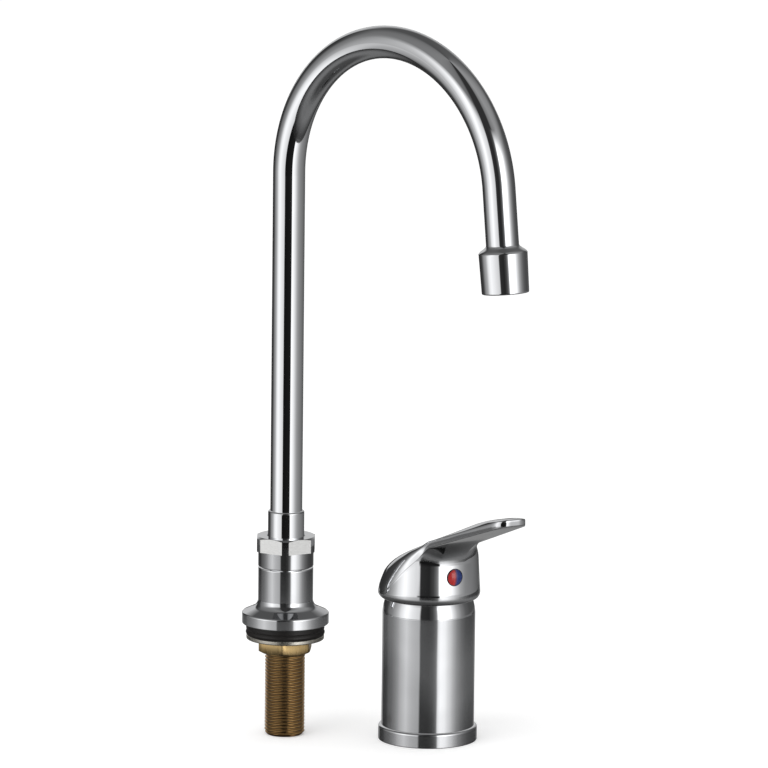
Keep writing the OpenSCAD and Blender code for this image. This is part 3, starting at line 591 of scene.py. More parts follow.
def close_tree(tree, source, output, geometry):
    """Ends a tree in Realize Instances and Set Material."""
    real = add_node(tree, "GeometryNodeRealizeInstances", {0: geometry}).outputs[0]
    done = add_node(tree, "GeometryNodeSetMaterial",
                    {"Geometry": real, "Material": source.outputs["Material"]}).outputs[0]
    tree.links.new(done, output.inputs[0])


def bake_modifiers(obj):
    """Makes what the modifiers give the object's own plain mesh and removes them."""
    bpy.context.view_layer.update()
    ready = obj.evaluated_get(bpy.context.evaluated_depsgraph_get())
    mesh = bpy.data.meshes.new_from_object(ready)
    obj.modifiers.clear()
    old = obj.data
    obj.data = mesh
    bpy.data.meshes.remove(old)
    return obj


def run_tree(obj, tree, values):
    """Runs the tree on obj once and keeps the result as obj's plain mesh."""
    modifier = obj.modifiers.new(tree.name, "NODES")
    modifier.node_group = tree
    for item in tree.interface.items_tree:
        if item.in_out == "INPUT" and item.name in values:
            modifier[item.identifier] = values[item.name]
    return bake_modifiers(obj)


def off_axis(tree, spot):
    """Splits a place into its three coordinates and its distance from the Z axis."""
    axes = add_node(tree, "ShaderNodeSeparateXYZ", {0: spot})
    x, y, z = (axes.outputs[i] for i in range(3))
    flat = add_node(tree, "ShaderNodeCombineXYZ", {"X": x, "Y": y}).outputs[0]
    out = add_node(tree, "ShaderNodeVectorMath", {0: flat}, operation="LENGTH").outputs["Value"]
    return x, y, z, out


# %% Thread cutter
def thread_cutter():
    tree, source, output = new_tree("thread_cutter", [
        ("Crest Radius", FLOAT), ("Depth", FLOAT), ("Pitch", FLOAT),
        ("End Height", FLOAT), ("Material", MATERIAL)])
    given = source.outputs
    spot = add_node(tree, "GeometryNodeInputPosition").outputs[0]
    x, y, z, radius = off_axis(tree, spot)
    turn = math_node(tree, "DIVIDE", math_node(tree, "ARCTAN2", y, x), 2 * math.pi)
    phase = math_node(tree, "SUBTRACT", math_node(tree, "DIVIDE", z, given["Pitch"]), turn)
    wave = math_node(tree, "COSINE", math_node(tree, "MULTIPLY", phase, 2 * math.pi))
    groove = math_node(tree, "MULTIPLY_ADD", wave, -0.5, 0.5)
    fade_start = math_node(tree, "SUBTRACT", given["End Height"], given["Pitch"])
    fade = add_node(tree, "ShaderNodeMapRange", {
        "Value": z, "From Min": fade_start, "From Max": given["End Height"],
        "To Min": 1.0, "To Max": 0.0}).outputs[0]
    cut = math_node(tree, "MULTIPLY", math_node(tree, "MULTIPLY", groove, fade), given["Depth"])
    thread_r = math_node(tree, "SUBTRACT", given["Crest Radius"], cut)
    share = math_node(tree, "DIVIDE", math_node(tree, "MINIMUM", radius, thread_r), radius)
    moved = add_node(tree, "ShaderNodeCombineXYZ", {
        "X": math_node(tree, "MULTIPLY", x, share), "Y": math_node(tree, "MULTIPLY", y, share),
        "Z": z}).outputs[0]
    cut_mesh = add_node(tree, "GeometryNodeSetPosition",
                        {"Geometry": given["Geometry"], "Position": moved}).outputs[0]
    close_tree(tree, source, output, cut_mesh)
    return tree


# %% Shank blank
THREAD_PITCH = 1.814
THREAD_DEPTH = 1.1
THREAD_ROWS = 300
SHANK_SIDES = 96
SHANK_BORE_R = 7.0
IN_NUT_R = SHANK_R - 1.16
IN_BODY_R = SHANK_R - 0.58
FOOT = 1.5
FOOT_ROWS = 10
BORE_EDGE = 0.4


def threaded_shank(material):
    """A turned blank with close rows where the thread is cut, then the cutter."""
    rows = [(SHANK_R - FOOT + FOOT * i / FOOT_ROWS, FOOT * i / FOOT_ROWS)
            for i in range(FOOT_ROWS)]
    rows += [(SHANK_R, FOOT + (NUT_LOW - FOOT) * i / THREAD_ROWS) for i in range(THREAD_ROWS + 1)]
    rows += [(IN_NUT_R, NUT_LOW + 0.01), (IN_NUT_R, NUT_TOP), (SHANK_R, NUT_TOP),
             (SHANK_R, FLANGE_LOW), (IN_BODY_R, FLANGE_LOW), (IN_BODY_R, SHANK_TOP),
             (SHANK_BORE_R + BORE_EDGE, SHANK_TOP), (SHANK_BORE_R, SHANK_TOP - BORE_EDGE),
             (SHANK_BORE_R, BORE_EDGE), (SHANK_BORE_R + BORE_EDGE, 0)]
    blank = finish_mesh(turned_bmesh(rows, SHANK_SIDES), "threaded_shank_body")
    run_tree(blank, thread_cutter(), {
        "Crest Radius": SHANK_R * MM, "Depth": THREAD_DEPTH * MM, "Pitch": THREAD_PITCH * MM,
        "End Height": NUT_LOW * MM, "Material": material})
    return crisp(blank, 60)


print("turns of bare thread:", round(NUT_LOW / THREAD_PITCH, 1))

# %% [markdown]
# ## Brass and steel of the clamping set
# The shank's brass is coloured a darker brown toward the roots of its thread grooves, and it
# is lighter on the crests. The hexagon nut is fresh yellow brass with drawn marks along its
# flats. The steel washer was turned, so its marks run round the axis.

# %% Brass and steel
METAL_GRAIN = 0.00001


def worked_metal(name, bright, dull, marks, rough, groove=None):
    """Metal with tool marks. A groove has the radii of its root and crest and a colour."""
    material, tree, shader = new_material(name, metallic=1)
    grain = noise(tree, object_point(tree, marks), 1.0, 4)
    shade = two_shades(tree, grain, dull, bright)
    if groove:
        root, crest, brown = groove
        out = off_axis(tree, object_point(tree))[-1]
        depth = add_node(tree, "ShaderNodeMapRange", {
            "Value": out, "From Min": root * MM, "From Max": crest * MM}).outputs[0]
        shade = mix_colour(tree, depth, (*brown, 1), shade)
    wire(tree, shader, shade, set_range(tree, grain, *rough), grain, METAL_GRAIN)
    return material


GROOVES = (SHANK_R - THREAD_DEPTH, SHANK_R - 0.2, (0.56, 0.32, 0.12))
SHANK_BRASS = worked_metal("shank_brass", (0.80, 0.50, 0.21), (0.64, 0.39, 0.15),
                           (900, 900, 900), (0.17, 0.27), GROOVES)
NUT_BRASS = worked_metal("nut_brass", (0.66, 0.48, 0.23), (0.52, 0.36, 0.16),
                         (1500, 1500, 150), (0.22, 0.4))
STEEL = worked_metal("washer_steel", (0.80, 0.76, 0.67), (0.68, 0.65, 0.58),
                     (500, 500, 4000), (0.2, 0.34))
dress(threaded_shank(SHANK_BRASS), SHANK_BRASS, "fixed", "shank_brass", "threaded_shank")

# %% [markdown]
# ## Hexagons
# A hexagon nut is a six-sided bar whose corners were chamfered on the lathe. That leaves the
# curved line at the end of each flat. The same is done here: a hexagonal prism is cut with a
# turned shape by a boolean, and a small bevel breaks its edges.

# %% Hexagon helpers
HEX_ANGLES = [math.radians(30 + 60 * k) for k in range(6)]
CHAMFER_EXTRA = 0.3
CHAMFER_SLOPE = 0.58


def boolean(obj, tool, operation):
    """Cuts obj with a tool, which is used up."""
    modifier = obj.modifiers.new("cut", "BOOLEAN")
    modifier.operation = operation
    modifier.solver = "EXACT"
    modifier.object = tool
    bake_modifiers(obj)
    used = tool.data
    bpy.data.objects.remove(tool)
    bpy.data.meshes.remove(used)
    return obj


def bevel(obj, width, segments):
    modifier = obj.modifiers.new("edges", "BEVEL")
    modifier.width = width * MM
    modifier.segments = segments
    modifier.limit_method = "ANGLE"
    modifier.angle_limit = math.radians(30)
    modifier.harden_normals = True
    return bake_modifiers(obj)


def hexagon(name, across_flats, low_z, high_z):
    """Six-sided bar with a corner toward -Y and a turned chamfer at both ends."""
    corner = across_flats / 2 / math.cos(math.radians(30))
    cut = corner - across_flats / 2 + CHAMFER_EXTRA
    rise = cut * CHAMFER_SLOPE
    bm = bmesh.new()
    low_ring = [bm.verts.new(polar(corner, angle, low_z)) for angle in HEX_ANGLES]
    high_ring = [bm.verts.new(polar(corner, angle, high_z)) for angle in HEX_ANGLES]
    for k in range(6):
        j = (k + 1) % 6
        bm.faces.new((low_ring[k], low_ring[j], high_ring[j], high_ring[k]))
    bm.faces.new(low_ring[::-1])
    bm.faces.new(high_ring)
    turned = [(0, low_z), (corner - cut, low_z), (corner, low_z + rise),
              (corner, high_z - rise), (corner - cut, high_z), (0, high_z)]
    bar = finish_mesh(bm, name)
    return boolean(bar, finish_mesh(turned_bmesh(turned), name + "_tool"), "INTERSECT")


print("corners of a hexagon at", [round(math.degrees(angle)) for angle in HEX_ANGLES], "degrees")

# %% Lock nut and washer
NUT_ACROSS = 26
NUT_BORE_R = SHANK_R - 1.11
WASHER_R = 20.15

lock_nut = hexagon("lock_nut_body", NUT_ACROSS, NUT_LOW, NUT_TOP)
nut_bore = lathe("nut_bore", [(0, NUT_LOW - 1), (NUT_BORE_R, NUT_LOW - 1),
                              (NUT_BORE_R, NUT_TOP + 1), (0, NUT_TOP + 1)], sides=SHANK_SIDES)
boolean(lock_nut, nut_bore, "DIFFERENCE")
bevel(lock_nut, 0.18, 2)
dress(crisp(lock_nut), NUT_BRASS, "fixed", "nut_brass", "lock_nut")

washer = lathe("lock_washer_body", [
    (WASHER_BORE_R, WASHER_LOW, 0.15), (WASHER_R, WASHER_LOW, 0.5),
    (WASHER_R, WASHER_TOP, 0.35), (WASHER_BORE_R, WASHER_TOP, 0.15)])
dress(washer, STEEL, "fixed", "washer_steel", "lock_washer")

# %% [markdown]
# ## Rubber gaskets
# Two black rubber gaskets sit between the flange and the worktop and between the worktop and
# the washer. The lower one is squeezed, so its edge bulges. Rubber is matte with a dim sheen,
# and a fine mould grain breaks the light on it.

# %% Rubber
def rubber(name, colour):
    material, tree, shader = new_material(name)
    point = object_point(tree)
    grain = noise(tree, point, 1800, 3)
    shade = ramp_node(tree, noise(tree, point, 60, 3),
                      [(0.35, darker(colour, 0.75)), (0.65, colour)])
    wire(tree, shader, shade, set_range(tree, grain, 0.32, 0.5), grain, 0.00002)
    return material


BLACK_RUBBER = rubber("black_rubber", (0.014, 0.012, 0.011))

# %% Gaskets
LOWER_GASKET_R = 19.9
BULGE_R = 20.65
UPPER_GASKET_R = 20.3

low_z, high_z = levels("lower_gasket")
lower_gasket = lathe("lower_gasket_body", [
    (WASHER_BORE_R, low_z, 0.2), (LOWER_GASKET_R, low_z, 0.3),
    (BULGE_R, (low_z + high_z) / 2, 1.4), (LOWER_GASKET_R, high_z, 0.3),
    (WASHER_BORE_R, high_z, 0.2)])
dress(lower_gasket, BLACK_RUBBER, "fixed", "black_rubber", "lower_gasket")
low_z, high_z = levels("upper_gasket")
upper_gasket = lathe("upper_gasket_body", [
    (WASHER_BORE_R, low_z, 0.2), (UPPER_GASKET_R, low_z, 0.6),
    (UPPER_GASKET_R, high_z, 0.6), (WASHER_BORE_R, high_z, 0.2)])
dress(upper_gasket, BLACK_RUBBER, "fixed", "black_rubber", "upper_gasket")

# %% [markdown]
# ## Base body
# The flange and the upright body are one casting, turned and polished. The flange has a
# straight rim, a rounded upper edge and a slope that runs into the foot of the body with a
# wide hollow fillet.

# %% Base body
GROOVE_Z = FLANGE_LOW + 29.6
BODY_R = 14.25
NECK_R = 12.95
SPIGOT_BORE_R = 8.45
SPIGOT_BORE_END = BODY_TOP - 23
THREAD_SEAT_R = 9.95
WATERWAY_R = 6.5
RIM_EDGE = 0.4
RIM_ROUND_R = 1
FILLET_R = 5


def arc_points(centre_r, centre_z, radius, start, end, steps):
    """Points of an arc between two angles in degrees."""
    angles = [math.radians(start + (end - start) * i / steps) for i in range(steps + 1)]
    return [(centre_r + radius * math.cos(angle), centre_z + radius * math.sin(angle))
            for angle in angles]


flange = [(THREAD_SEAT_R, FLANGE_LOW), (FLANGE_R - RIM_EDGE, FLANGE_LOW),
          (FLANGE_R, FLANGE_LOW + RIM_EDGE)]
flange += arc_points(FLANGE_R - RIM_ROUND_R, FLANGE_LOW + 5.1, RIM_ROUND_R, 0, 64, 8)
flange += arc_points(BODY_R + FILLET_R, FLANGE_LOW + 12.7, FILLET_R, 244, 180, 16)
flange += [(BODY_R, FLANGE_LOW + 12.9), (BODY_R, GROOVE_Z - 0.5), (14.2, GROOVE_Z - 0.2),
           (14.0, GROOVE_Z), (NECK_R, GROOVE_Z), (NECK_R, BODY_TOP - RIM_EDGE),
           (NECK_R - RIM_EDGE, BODY_TOP), (SPIGOT_BORE_R, BODY_TOP),
           (SPIGOT_BORE_R, SPIGOT_BORE_END), (WATERWAY_R, SPIGOT_BORE_END),
           (WATERWAY_R, SHANK_TOP), (THREAD_SEAT_R, SHANK_TOP)]
base = finish_mesh(turned_bmesh(held(flange)), "base_body_casting")
dress(base, CHROME_CAST, "fixed", "chrome", "base_body")

# %% [markdown]
# ## Coupling nut
# The coupling nut holds the spout's tail down and lets it swivel. It was turned from one bar:
# a round skirt and a wider zone with a chamfer at its top. Six wrench flats were then milled
# into the wider zone. They were left as cut, so they are satin between polished corners.

# %% Satin flats
def satin(name, colour, marks, rough, depth=METAL_GRAIN, metallic=1):
    material, tree, shader = new_material(name, metallic)
    grain = noise(tree, object_point(tree, marks), 1.0, 5)
    shade = two_shades(tree, grain, darker(colour, 0.88), colour)
    wire(tree, shader, shade, set_range(tree, grain, *rough), grain, depth)
    return material


SATIN_FLATS = satin("satin_flats", (0.93, 0.93, 0.92), (500, 500, 1200), (0.3, 0.45), 0.00003, 0.5)

# %% Outline of the coupling nut
HEX_LOW = BODY_TOP + 1.3
HEX_TOP = BODY_TOP + 8.9
SKIRT_R = 14.35
CORNER_R = 16.2
FLAT_R = 14.85
FLAT_TURN = 5
COLLAR_LOW = 97.25
COLLAR_TOP = 99.75
BORE_TOP = COLLAR_TOP + 0.3
BORE_R = NECK_R + 0.05
SLEEVE_GAP_R = 9.6
FLAT_HALF = math.degrees(math.acos(FLAT_R / CORNER_R))
ON_FLAT = (-1, -0.98, -0.8, -0.6, -0.4, -0.2, 0, 0.2, 0.4, 0.6, 0.8, 0.98, 1)
ON_CORNER = (0.04, 0.25, 0.5, 0.75, 0.96)


def nut_bearings():
    """Columns for the six flats and for the round corners between them, in degrees."""
    one = [FLAT_HALF * t for t in ON_FLAT]
    one += [FLAT_HALF + (60 - 2 * FLAT_HALF) * t for t in ON_CORNER]
    return [FLAT_TURN + 60 * k + bearing for k in range(6) for bearing in one]


def from_flat(bearing):
    """Angle between a bearing and the middle of the nearest flat, in degrees."""
    return (bearing - FLAT_TURN + 30) % 60 - 30


def milled(bearing):
    return min(CORNER_R, FLAT_R / math.cos(math.radians(from_flat(bearing))))


def nut_rings():
    """Rows of the nut, each a function of the bearing that gives the radius and the level."""
    def turned(radius, level):
        return lambda bearing: (radius, level)

    def on_flat(level):
        return lambda bearing: (milled(bearing), level)

    def chamfer(below):
        def spot(bearing):
            out = milled(bearing)
            return out, HEX_TOP - 0.05 - 0.55 * (out - FLAT_R) - below
        return spot

    rows = [turned(*p) for p in (
        (BORE_R, COUPLING_LOW), (SKIRT_R - 0.3, COUPLING_LOW), (SKIRT_R, COUPLING_LOW + 0.3),
        (SKIRT_R, COUPLING_LOW + 0.42), (SKIRT_R, HEX_LOW - HOLD), (SKIRT_R, HEX_LOW))]
    rows += [on_flat(HEX_LOW), on_flat(HEX_LOW + HOLD), chamfer(HOLD), chamfer(0)]
    rows += [turned(*p) for p in (
        (FLAT_R - 0.1, HEX_TOP), (FLAT_R - 0.3, HEX_TOP), (SLEEVE_GAP_R + 0.3, HEX_TOP),
        (SLEEVE_GAP_R, HEX_TOP - 0.3), (SLEEVE_GAP_R, BORE_TOP), (BORE_R, BORE_TOP))]
    return rows


print("columns of the nut:", len(nut_bearings()))

# %% Coupling nut
bm = bmesh.new()
rings = []
for row in nut_rings():
    ring = []
    for bearing in nut_bearings():
        radius, level = row(bearing)
        ring.append(bm.verts.new(polar(radius, math.radians(bearing), level)))
    rings.append(ring)
join_rings(bm, rings)
coupling = finish_mesh(bm, "coupling_nut_body", 15)
dress(coupling, CHROME, "fixed", "chrome", "coupling_nut")
coupling.data.materials.append(SATIN_FLATS)
flats = 0
for face in coupling.data.polygons:
    bearing = math.degrees(math.atan2(face.normal.y, face.normal.x))
    upright = abs(face.normal.z) < 0.01
    if HEX_LOW < face.center.z / MM < HEX_TOP and abs(from_flat(bearing)) < 0.5 and upright:
        face.material_index = 1
        flats += 1
print("satin faces:", flats)

# %% [markdown]
# ## Tail piece and tube
# The tail's sleeve stands on the nut and holds the tube. The tube is one pipe, bent on a round
# die: a straight riser, an arch and a short leg. Its centre line follows a rule, so a Geometry
# Nodes tree makes it. Each point of a straight line is moved to its place by its distance
# along the pipe, and a circle is swept along the result. Solidify then gives the pipe its wall.

# %% Tail piece
SPIGOT_R = 8.4
TAIL_BORE_R = 5
COLLAR_R = 12.3
SLEEVE_R = 9.35
TUBE_SEAT_R = 8.3
TUBE_FOOT = TAIL_TOP - 15.5

tail_profile = [(TAIL_BORE_R, TAIL_LOW), (SPIGOT_R - 0.5, TAIL_LOW), (SPIGOT_R, TAIL_LOW + 0.5),
                (SPIGOT_R, COLLAR_LOW), (COLLAR_R, COLLAR_LOW), (COLLAR_R, COLLAR_TOP),
                (SLEEVE_R, COLLAR_TOP), (SLEEVE_R, TAIL_TOP - 0.75), (9.27, TAIL_TOP - 0.42),
                (9.05, TAIL_TOP - 0.16), (8.75, TAIL_TOP - 0.02), (8.35, TAIL_TOP),
                (TUBE_SEAT_R, TAIL_TOP - 0.1), (TUBE_SEAT_R, TUBE_FOOT), (TAIL_BORE_R, TUBE_FOOT)]
tail = finish_mesh(turned_bmesh(held(tail_profile)), "tail_piece_sleeve")
dress(tail, CHROME, "spout", "chrome", "tail_piece")

# %% Tree of the bent tube
def spout_tree():
    tree, source, output = new_tree("bent_tube", [
        ("Riser", FLOAT), ("Bend Radius", FLOAT), ("Sweep", FLOAT), ("Leg", FLOAT),
        ("Tube Radius", FLOAT), ("Steps", INTEGER), ("Sides", INTEGER), ("Material", MATERIAL)])
    given = source.outputs
    bend_length = math_node(tree, "MULTIPLY", given["Bend Radius"], given["Sweep"])
    straight = math_node(tree, "ADD", given["Riser"], given["Leg"])
    length = math_node(tree, "ADD", straight, bend_length)
    end = add_node(tree, "ShaderNodeCombineXYZ", {"Z": length}).outputs[0]
    line = add_node(tree, "GeometryNodeCurvePrimitiveLine", {"End": end}).outputs[0]
    steps = add_node(tree, "GeometryNodeResampleCurve", {"Curve": line, "Count": given["Steps"]})
    spot = add_node(tree, "GeometryNodeInputPosition").outputs[0]
    done = add_node(tree, "ShaderNodeSeparateXYZ", {0: spot}).outputs["Z"]
    past_riser = math_node(tree, "SUBTRACT", done, given["Riser"])
    bent_by = math_node(tree, "DIVIDE", past_riser, given["Bend Radius"])
    not_less = math_node(tree, "MAXIMUM", bent_by, 0.0)
    turned = math_node(tree, "MINIMUM", not_less, given["Sweep"])
    on_leg = math_node(tree, "MAXIMUM", math_node(tree, "SUBTRACT", past_riser, bend_length), 0.0)
    sine = math_node(tree, "SINE", turned)
    cosine = math_node(tree, "COSINE", turned)
    out = math_node(tree, "MULTIPLY_ADD", math_node(tree, "SUBTRACT", 1.0, cosine),
                    given["Bend Radius"], math_node(tree, "MULTIPLY", on_leg, sine))
    up = math_node(tree, "MULTIPLY_ADD", sine, given["Bend Radius"],
                   math_node(tree, "MULTIPLY", on_leg, cosine))
    level = math_node(tree, "ADD", up, math_node(tree, "MINIMUM", done, given["Riser"]))
    bent = add_node(tree, "ShaderNodeCombineXYZ", {"X": out, "Z": level}).outputs[0]
    path = add_node(tree, "GeometryNodeSetPosition",
                    {"Geometry": steps.outputs[0], "Position": bent}).outputs[0]
    circle = add_node(tree, "GeometryNodeCurvePrimitiveCircle",
                      {"Resolution": given["Sides"], "Radius": given["Tube Radius"]}).outputs[0]
    skin = add_node(tree, "GeometryNodeCurveToMesh", {"Curve": path, "Profile Curve": circle})
    close_tree(tree, source, output, skin.outputs[0])
    return tree


def outward(obj):
    """Merges doubles and turns every face outward."""
    bm = bmesh.new()
    bm.from_mesh(obj.data)
    bmesh.ops.remove_doubles(bm, verts=bm.verts, dist=1e-7)
    bmesh.ops.recalc_face_normals(bm, faces=bm.faces)
    bm.to_mesh(obj.data)
    bm.free()
    return obj


# %% Spout tube
SPOUT_TURN = Matrix.Rotation(math.radians(-38.9), 4, "Z")
ARCH_R = 74.0
ARCH_SWEEP = math.radians(174)
ARCH_Z = 294.4
LEG = 27.6
TUBE_R = 8.25
TUBE_WALL = 1.0
TUBE_STEPS = 420
TUBE_SIDES = 80

tube = in_scene("spout_tube_pipe", bpy.data.meshes.new("spout_tube_pipe"))
run_tree(tube, spout_tree(), {
    "Riser": (ARCH_Z - TUBE_FOOT) * MM, "Bend Radius": ARCH_R * MM, "Sweep": ARCH_SWEEP,
    "Leg": LEG * MM, "Tube Radius": TUBE_R * MM, "Steps": TUBE_STEPS, "Sides": TUBE_SIDES,
    "Material": CHROME})
outward(tube)
wall = tube.modifiers.new("wall", "SOLIDIFY")
wall.thickness = TUBE_WALL * MM
wall.offset = -1
wall.use_even_offset = True
bake_modifiers(tube)
tube.data.transform(SPOUT_TURN @ Matrix.Translation((0, 0, TUBE_FOOT * MM)))
dress(crisp(tube), CHROME, "spout", "chrome", "spout_tube")

# %% [markdown]
# ## Outlet nozzle
# The nozzle is turned and brazed to the tube. Its shoulder has a double curve, and its cup
# narrows slightly toward the mouth. It is drawn in its own frame along the flow, and the same
# matrix as in the CAD model puts it at the end of the leg.

# %% Place of the outlet
OUTLET = (SPOUT_TURN
          @ Matrix.Translation((ARCH_R * (1 - math.cos(ARCH_SWEEP)) * MM, 0,
                                (ARCH_Z + ARCH_R * math.sin(ARCH_SWEEP)) * MM))
          @ Matrix.Rotation(ARCH_SWEEP, 4, "Y") @ Matrix.Translation((0, 0, LEG * MM)))
print("outlet at", [round(c / MM, 1) for c in OUTLET.translation])

# %% Outlet nozzle
NOZZLE_R = 12.25
NOZZLE_BORE_R = 5.6
CUP_R = 10.2
CUP_FLOOR = 11.5
MOUTH = 24.2
SHOULDER = 4.2
SHOULDER_STEPS = 24


def ease(t):
    """Goes from 0 to 1 with a soft start and a soft end."""
    t = min(max(t, 0), 1)
    return t * t * (3 - 2 * t)


def mix(a, b, t):
    return a * (1 - t) + b * t


nozzle_line = [(NOZZLE_BORE_R, -8), (7.2, -8), (7.2, 0)]
nozzle_line += [(mix(TUBE_R, NOZZLE_R, ease(i / SHOULDER_STEPS)), SHOULDER * i / SHOULDER_STEPS)
                for i in range(SHOULDER_STEPS + 1)]
nozzle_line += [(12.24, 4.5), (11.87, 23.5), (11.82, 23.85), (11.65, 24.08), (11.4, MOUTH),
                (10.35, MOUTH), (CUP_R, 24.05), (CUP_R, CUP_FLOOR), (NOZZLE_BORE_R, CUP_FLOOR)]
nozzle = finish_mesh(turned_bmesh(held(nozzle_line)), "outlet_nozzle_cup", 50)
nozzle.data.transform(OUTLET)
dress(nozzle, CHROME, "spout", "chrome", "outlet_nozzle")

# %% [markdown]
# ## Mixer base, body and dome
# The mixer's body is one heavy cylinder on a polished ring. The dome above it is part of a
# sphere about the axis on which the lever tilts, so the handle glides over it.

# %% Mixer base ring
MIXER_X = 74.5
MIXER = Matrix.Translation((MIXER_X * MM, 0, 0))
MIXER_R = 24
MIXER_H = 67.4
RING_R = 25.6
RING_BORE_R = 22
RING_H = 7.6

base_ring = lathe("mixer_base_ring_body", [
    (RING_BORE_R, 0, 0.2), (22.8, 0), (22.8, 1.5), (24.8, 1.5), (24.8, 0), (RING_R, 0, 0.7),
    (RING_R, RING_H, 1.1), (RING_BORE_R, RING_H, 0.1)], MIXER)
dress(base_ring, CHROME, "fixed", "chrome", "mixer_base_ring")

# %% Mixer body
BODY_FOOT_R = 21.95
BODY_SIDES = 192

body = lathe("mixer_body_casting", [
    (0, 3), (BODY_FOOT_R, 3, 0.3), (BODY_FOOT_R, RING_H), (MIXER_R, RING_H, 0.15),
    (MIXER_R, MIXER_H, 0.35), (20, MIXER_H), (20, 61), (17.6, 61), (17.6, 30), (0, 30)],
    MIXER, BODY_SIDES)
dress(body, CHROME_CAST, "fixed", "satin_steel", "mixer_body")

# %% Bonnet dome
PIVOT_Z = 66.0
DOME_IN_R = 22.3
DOME_SEAT_R = 21.65
OPENING_R = 16.4


def sphere_z(radius, from_axis):
    """Height at which a sphere about the lever's pivot is this far from the mixer's axis."""
    return PIVOT_Z + math.sqrt(radius ** 2 - from_axis ** 2)


def dome_line(radius, low, steps):
    """Part of a sphere about the pivot, from a level up to the opening."""
    start = math.degrees(math.asin((low - PIVOT_Z) / radius))
    end = math.degrees(math.asin((sphere_z(radius, OPENING_R) - PIVOT_Z) / radius))
    return arc_points(0, PIVOT_Z, radius, start, end, steps)


dome_loop = dome_line(MIXER_R, MIXER_H, 24) + dome_line(DOME_IN_R, 72.0, 12)[::-1]
dome_loop += [(DOME_SEAT_R, 71.0), (DOME_SEAT_R, MIXER_H)]
dome = finish_mesh(turned_bmesh(held(dome_loop)), "bonnet_dome_shell")
dome.data.transform(MIXER)
dress(dome, CHROME, "fixed", "chrome", "bonnet_dome")

# %% [markdown]
# ## Handle
# The handle is one casting: a drum over the dome whose crown runs out into the lever. Its skin
# is a single surface in polar form. For each direction round the axis there is one line from
# the rim up to the crown. It runs up the drum's side, through the hollow under the lever,
# round the edge and over the top. Away from the lever the hollow shrinks to nothing and the
# edge gets rounder, so the crease fades out on the flank as it does on the real casting.

# %% Side view of the handle
RIM_Z = 74.7
CROWN = 24.8
RIDGE_SLOPE = 0.455
RIDGE_BOW = 0.0003
DRUM_EDGE = 4.4
DRUM_EDGE_HEIGHT = 2.5
LEVER_EDGE_HEIGHT = 3.6
EDGE_SLOPE = 0.346
NECK_START = -9
NECK_LENGTH = 34


def on_lever(s):
    """Goes from 0 on the drum to 1 on the lever. All lengths s run along the lever."""
    return ease((s - NECK_START) / NECK_LENGTH)


def ridge(s):
    """Height of the lever's middle line."""
    return CROWN + RIDGE_SLOPE * s - RIDGE_BOW * s * s


def edge_low(s):
    """Height of the edge's lower side."""
    return mix(DRUM_EDGE, CROWN + 8.5 + EDGE_SLOPE * (s - 30), on_lever(s))


def edge_high(s):
    return edge_low(s) + mix(DRUM_EDGE_HEIGHT, LEVER_EDGE_HEIGHT, on_lever(s))


print("lower edge on the drum:", round(edge_low(-20), 1), "mm over the rim")
print("lower edge on the lever:", round(edge_low(80), 1), "mm over the rim")

# %% Plan view of the handle
HANDLE_R = 26.4
DRAFT = 0.05
DRAFT_START = 3.3
LEVER_REACH = 84.5
LEVER_WIDTH = 16.9
LEVER_TAPER = 0.214
TIP_R = 6.5
BLEND_POWER = 20


def tip_r(a):
    """Distance to the lever's outline: a straight side, a round corner and a straight end."""
    half = (LEVER_WIDTH + LEVER_TAPER * LEVER_REACH) / 2
    slope = LEVER_TAPER / 2
    lean = math.hypot(1, slope)
    end = LEVER_REACH - TIP_R
    up = half - TIP_R * lean - slope * end
    first = math.atan2(up, LEVER_REACH)
    last = math.atan2(up + TIP_R / lean, end + TIP_R * slope / lean)
    if a <= first:
        return LEVER_REACH / math.cos(a)
    if a >= last:
        return half / (math.sin(a) + slope * math.cos(a))
    out = end * math.cos(a) + up * math.sin(a)
    return out + math.sqrt(out ** 2 - end ** 2 - up ** 2 + TIP_R ** 2)


def plan_r(a):
    """Radius of the plan view: the drum's circle blended with the tapering lever."""
    a = abs(a)
    lever = tip_r(a) if a < math.radians(80) else 0.0
    drum = HANDLE_R - DRAFT * (edge_low(HANDLE_R * math.cos(a)) - DRAFT_START)
    return (drum ** BLEND_POWER + lever ** BLEND_POWER) ** (1 / BLEND_POWER)


print("lever's tip:", round(plan_r(0), 1), "mm out, back of the drum:", round(plan_r(math.pi), 1))

# %% One line over the handle
RIM_TOP = 3.6
SIDE_STEPS = 8
FLANK_START = math.radians(28)
FLANK_WIDTH = math.radians(24)
LEVER_ROUNDING = 0.8
DRUM_ROUNDING = 3.0
HOLLOW_MOST = 15.0
HOLLOW_SHARE = 0.7
UNDER_ROUNDING = 0.5
CROWN_POWER = 5.8
TOP_SHARES = (0.955, 0.935, 0.91, 0.88, 0.85, 0.81, 0.77, 0.72, 0.66, 0.6, 0.53, 0.46, 0.39,
              0.32, 0.25, 0.18, 0.11, 0.05)
HOLLOW_SHARES = (0.02, 0.05, 0.1, 0.16, 0.23, 0.31, 0.4, 0.5, 0.6, 0.7, 0.8, 0.9, 1.0)
UNDER_SHARES = (0.2, 0.4, 0.6, 0.8)


def bend(first, corner, last, steps):
    """Points of a small rounding from first to last that leans toward corner."""
    return [tuple(f * (1 - t) ** 2 + 2 * c * t * (1 - t) + e * t * t
                  for f, c, e in zip(first, corner, last))
            for t in [i / steps for i in range(steps + 1)]]


RIM = bend((23.2, 0), (26.3, 0.1), (HANDLE_R, RIM_TOP), 10)


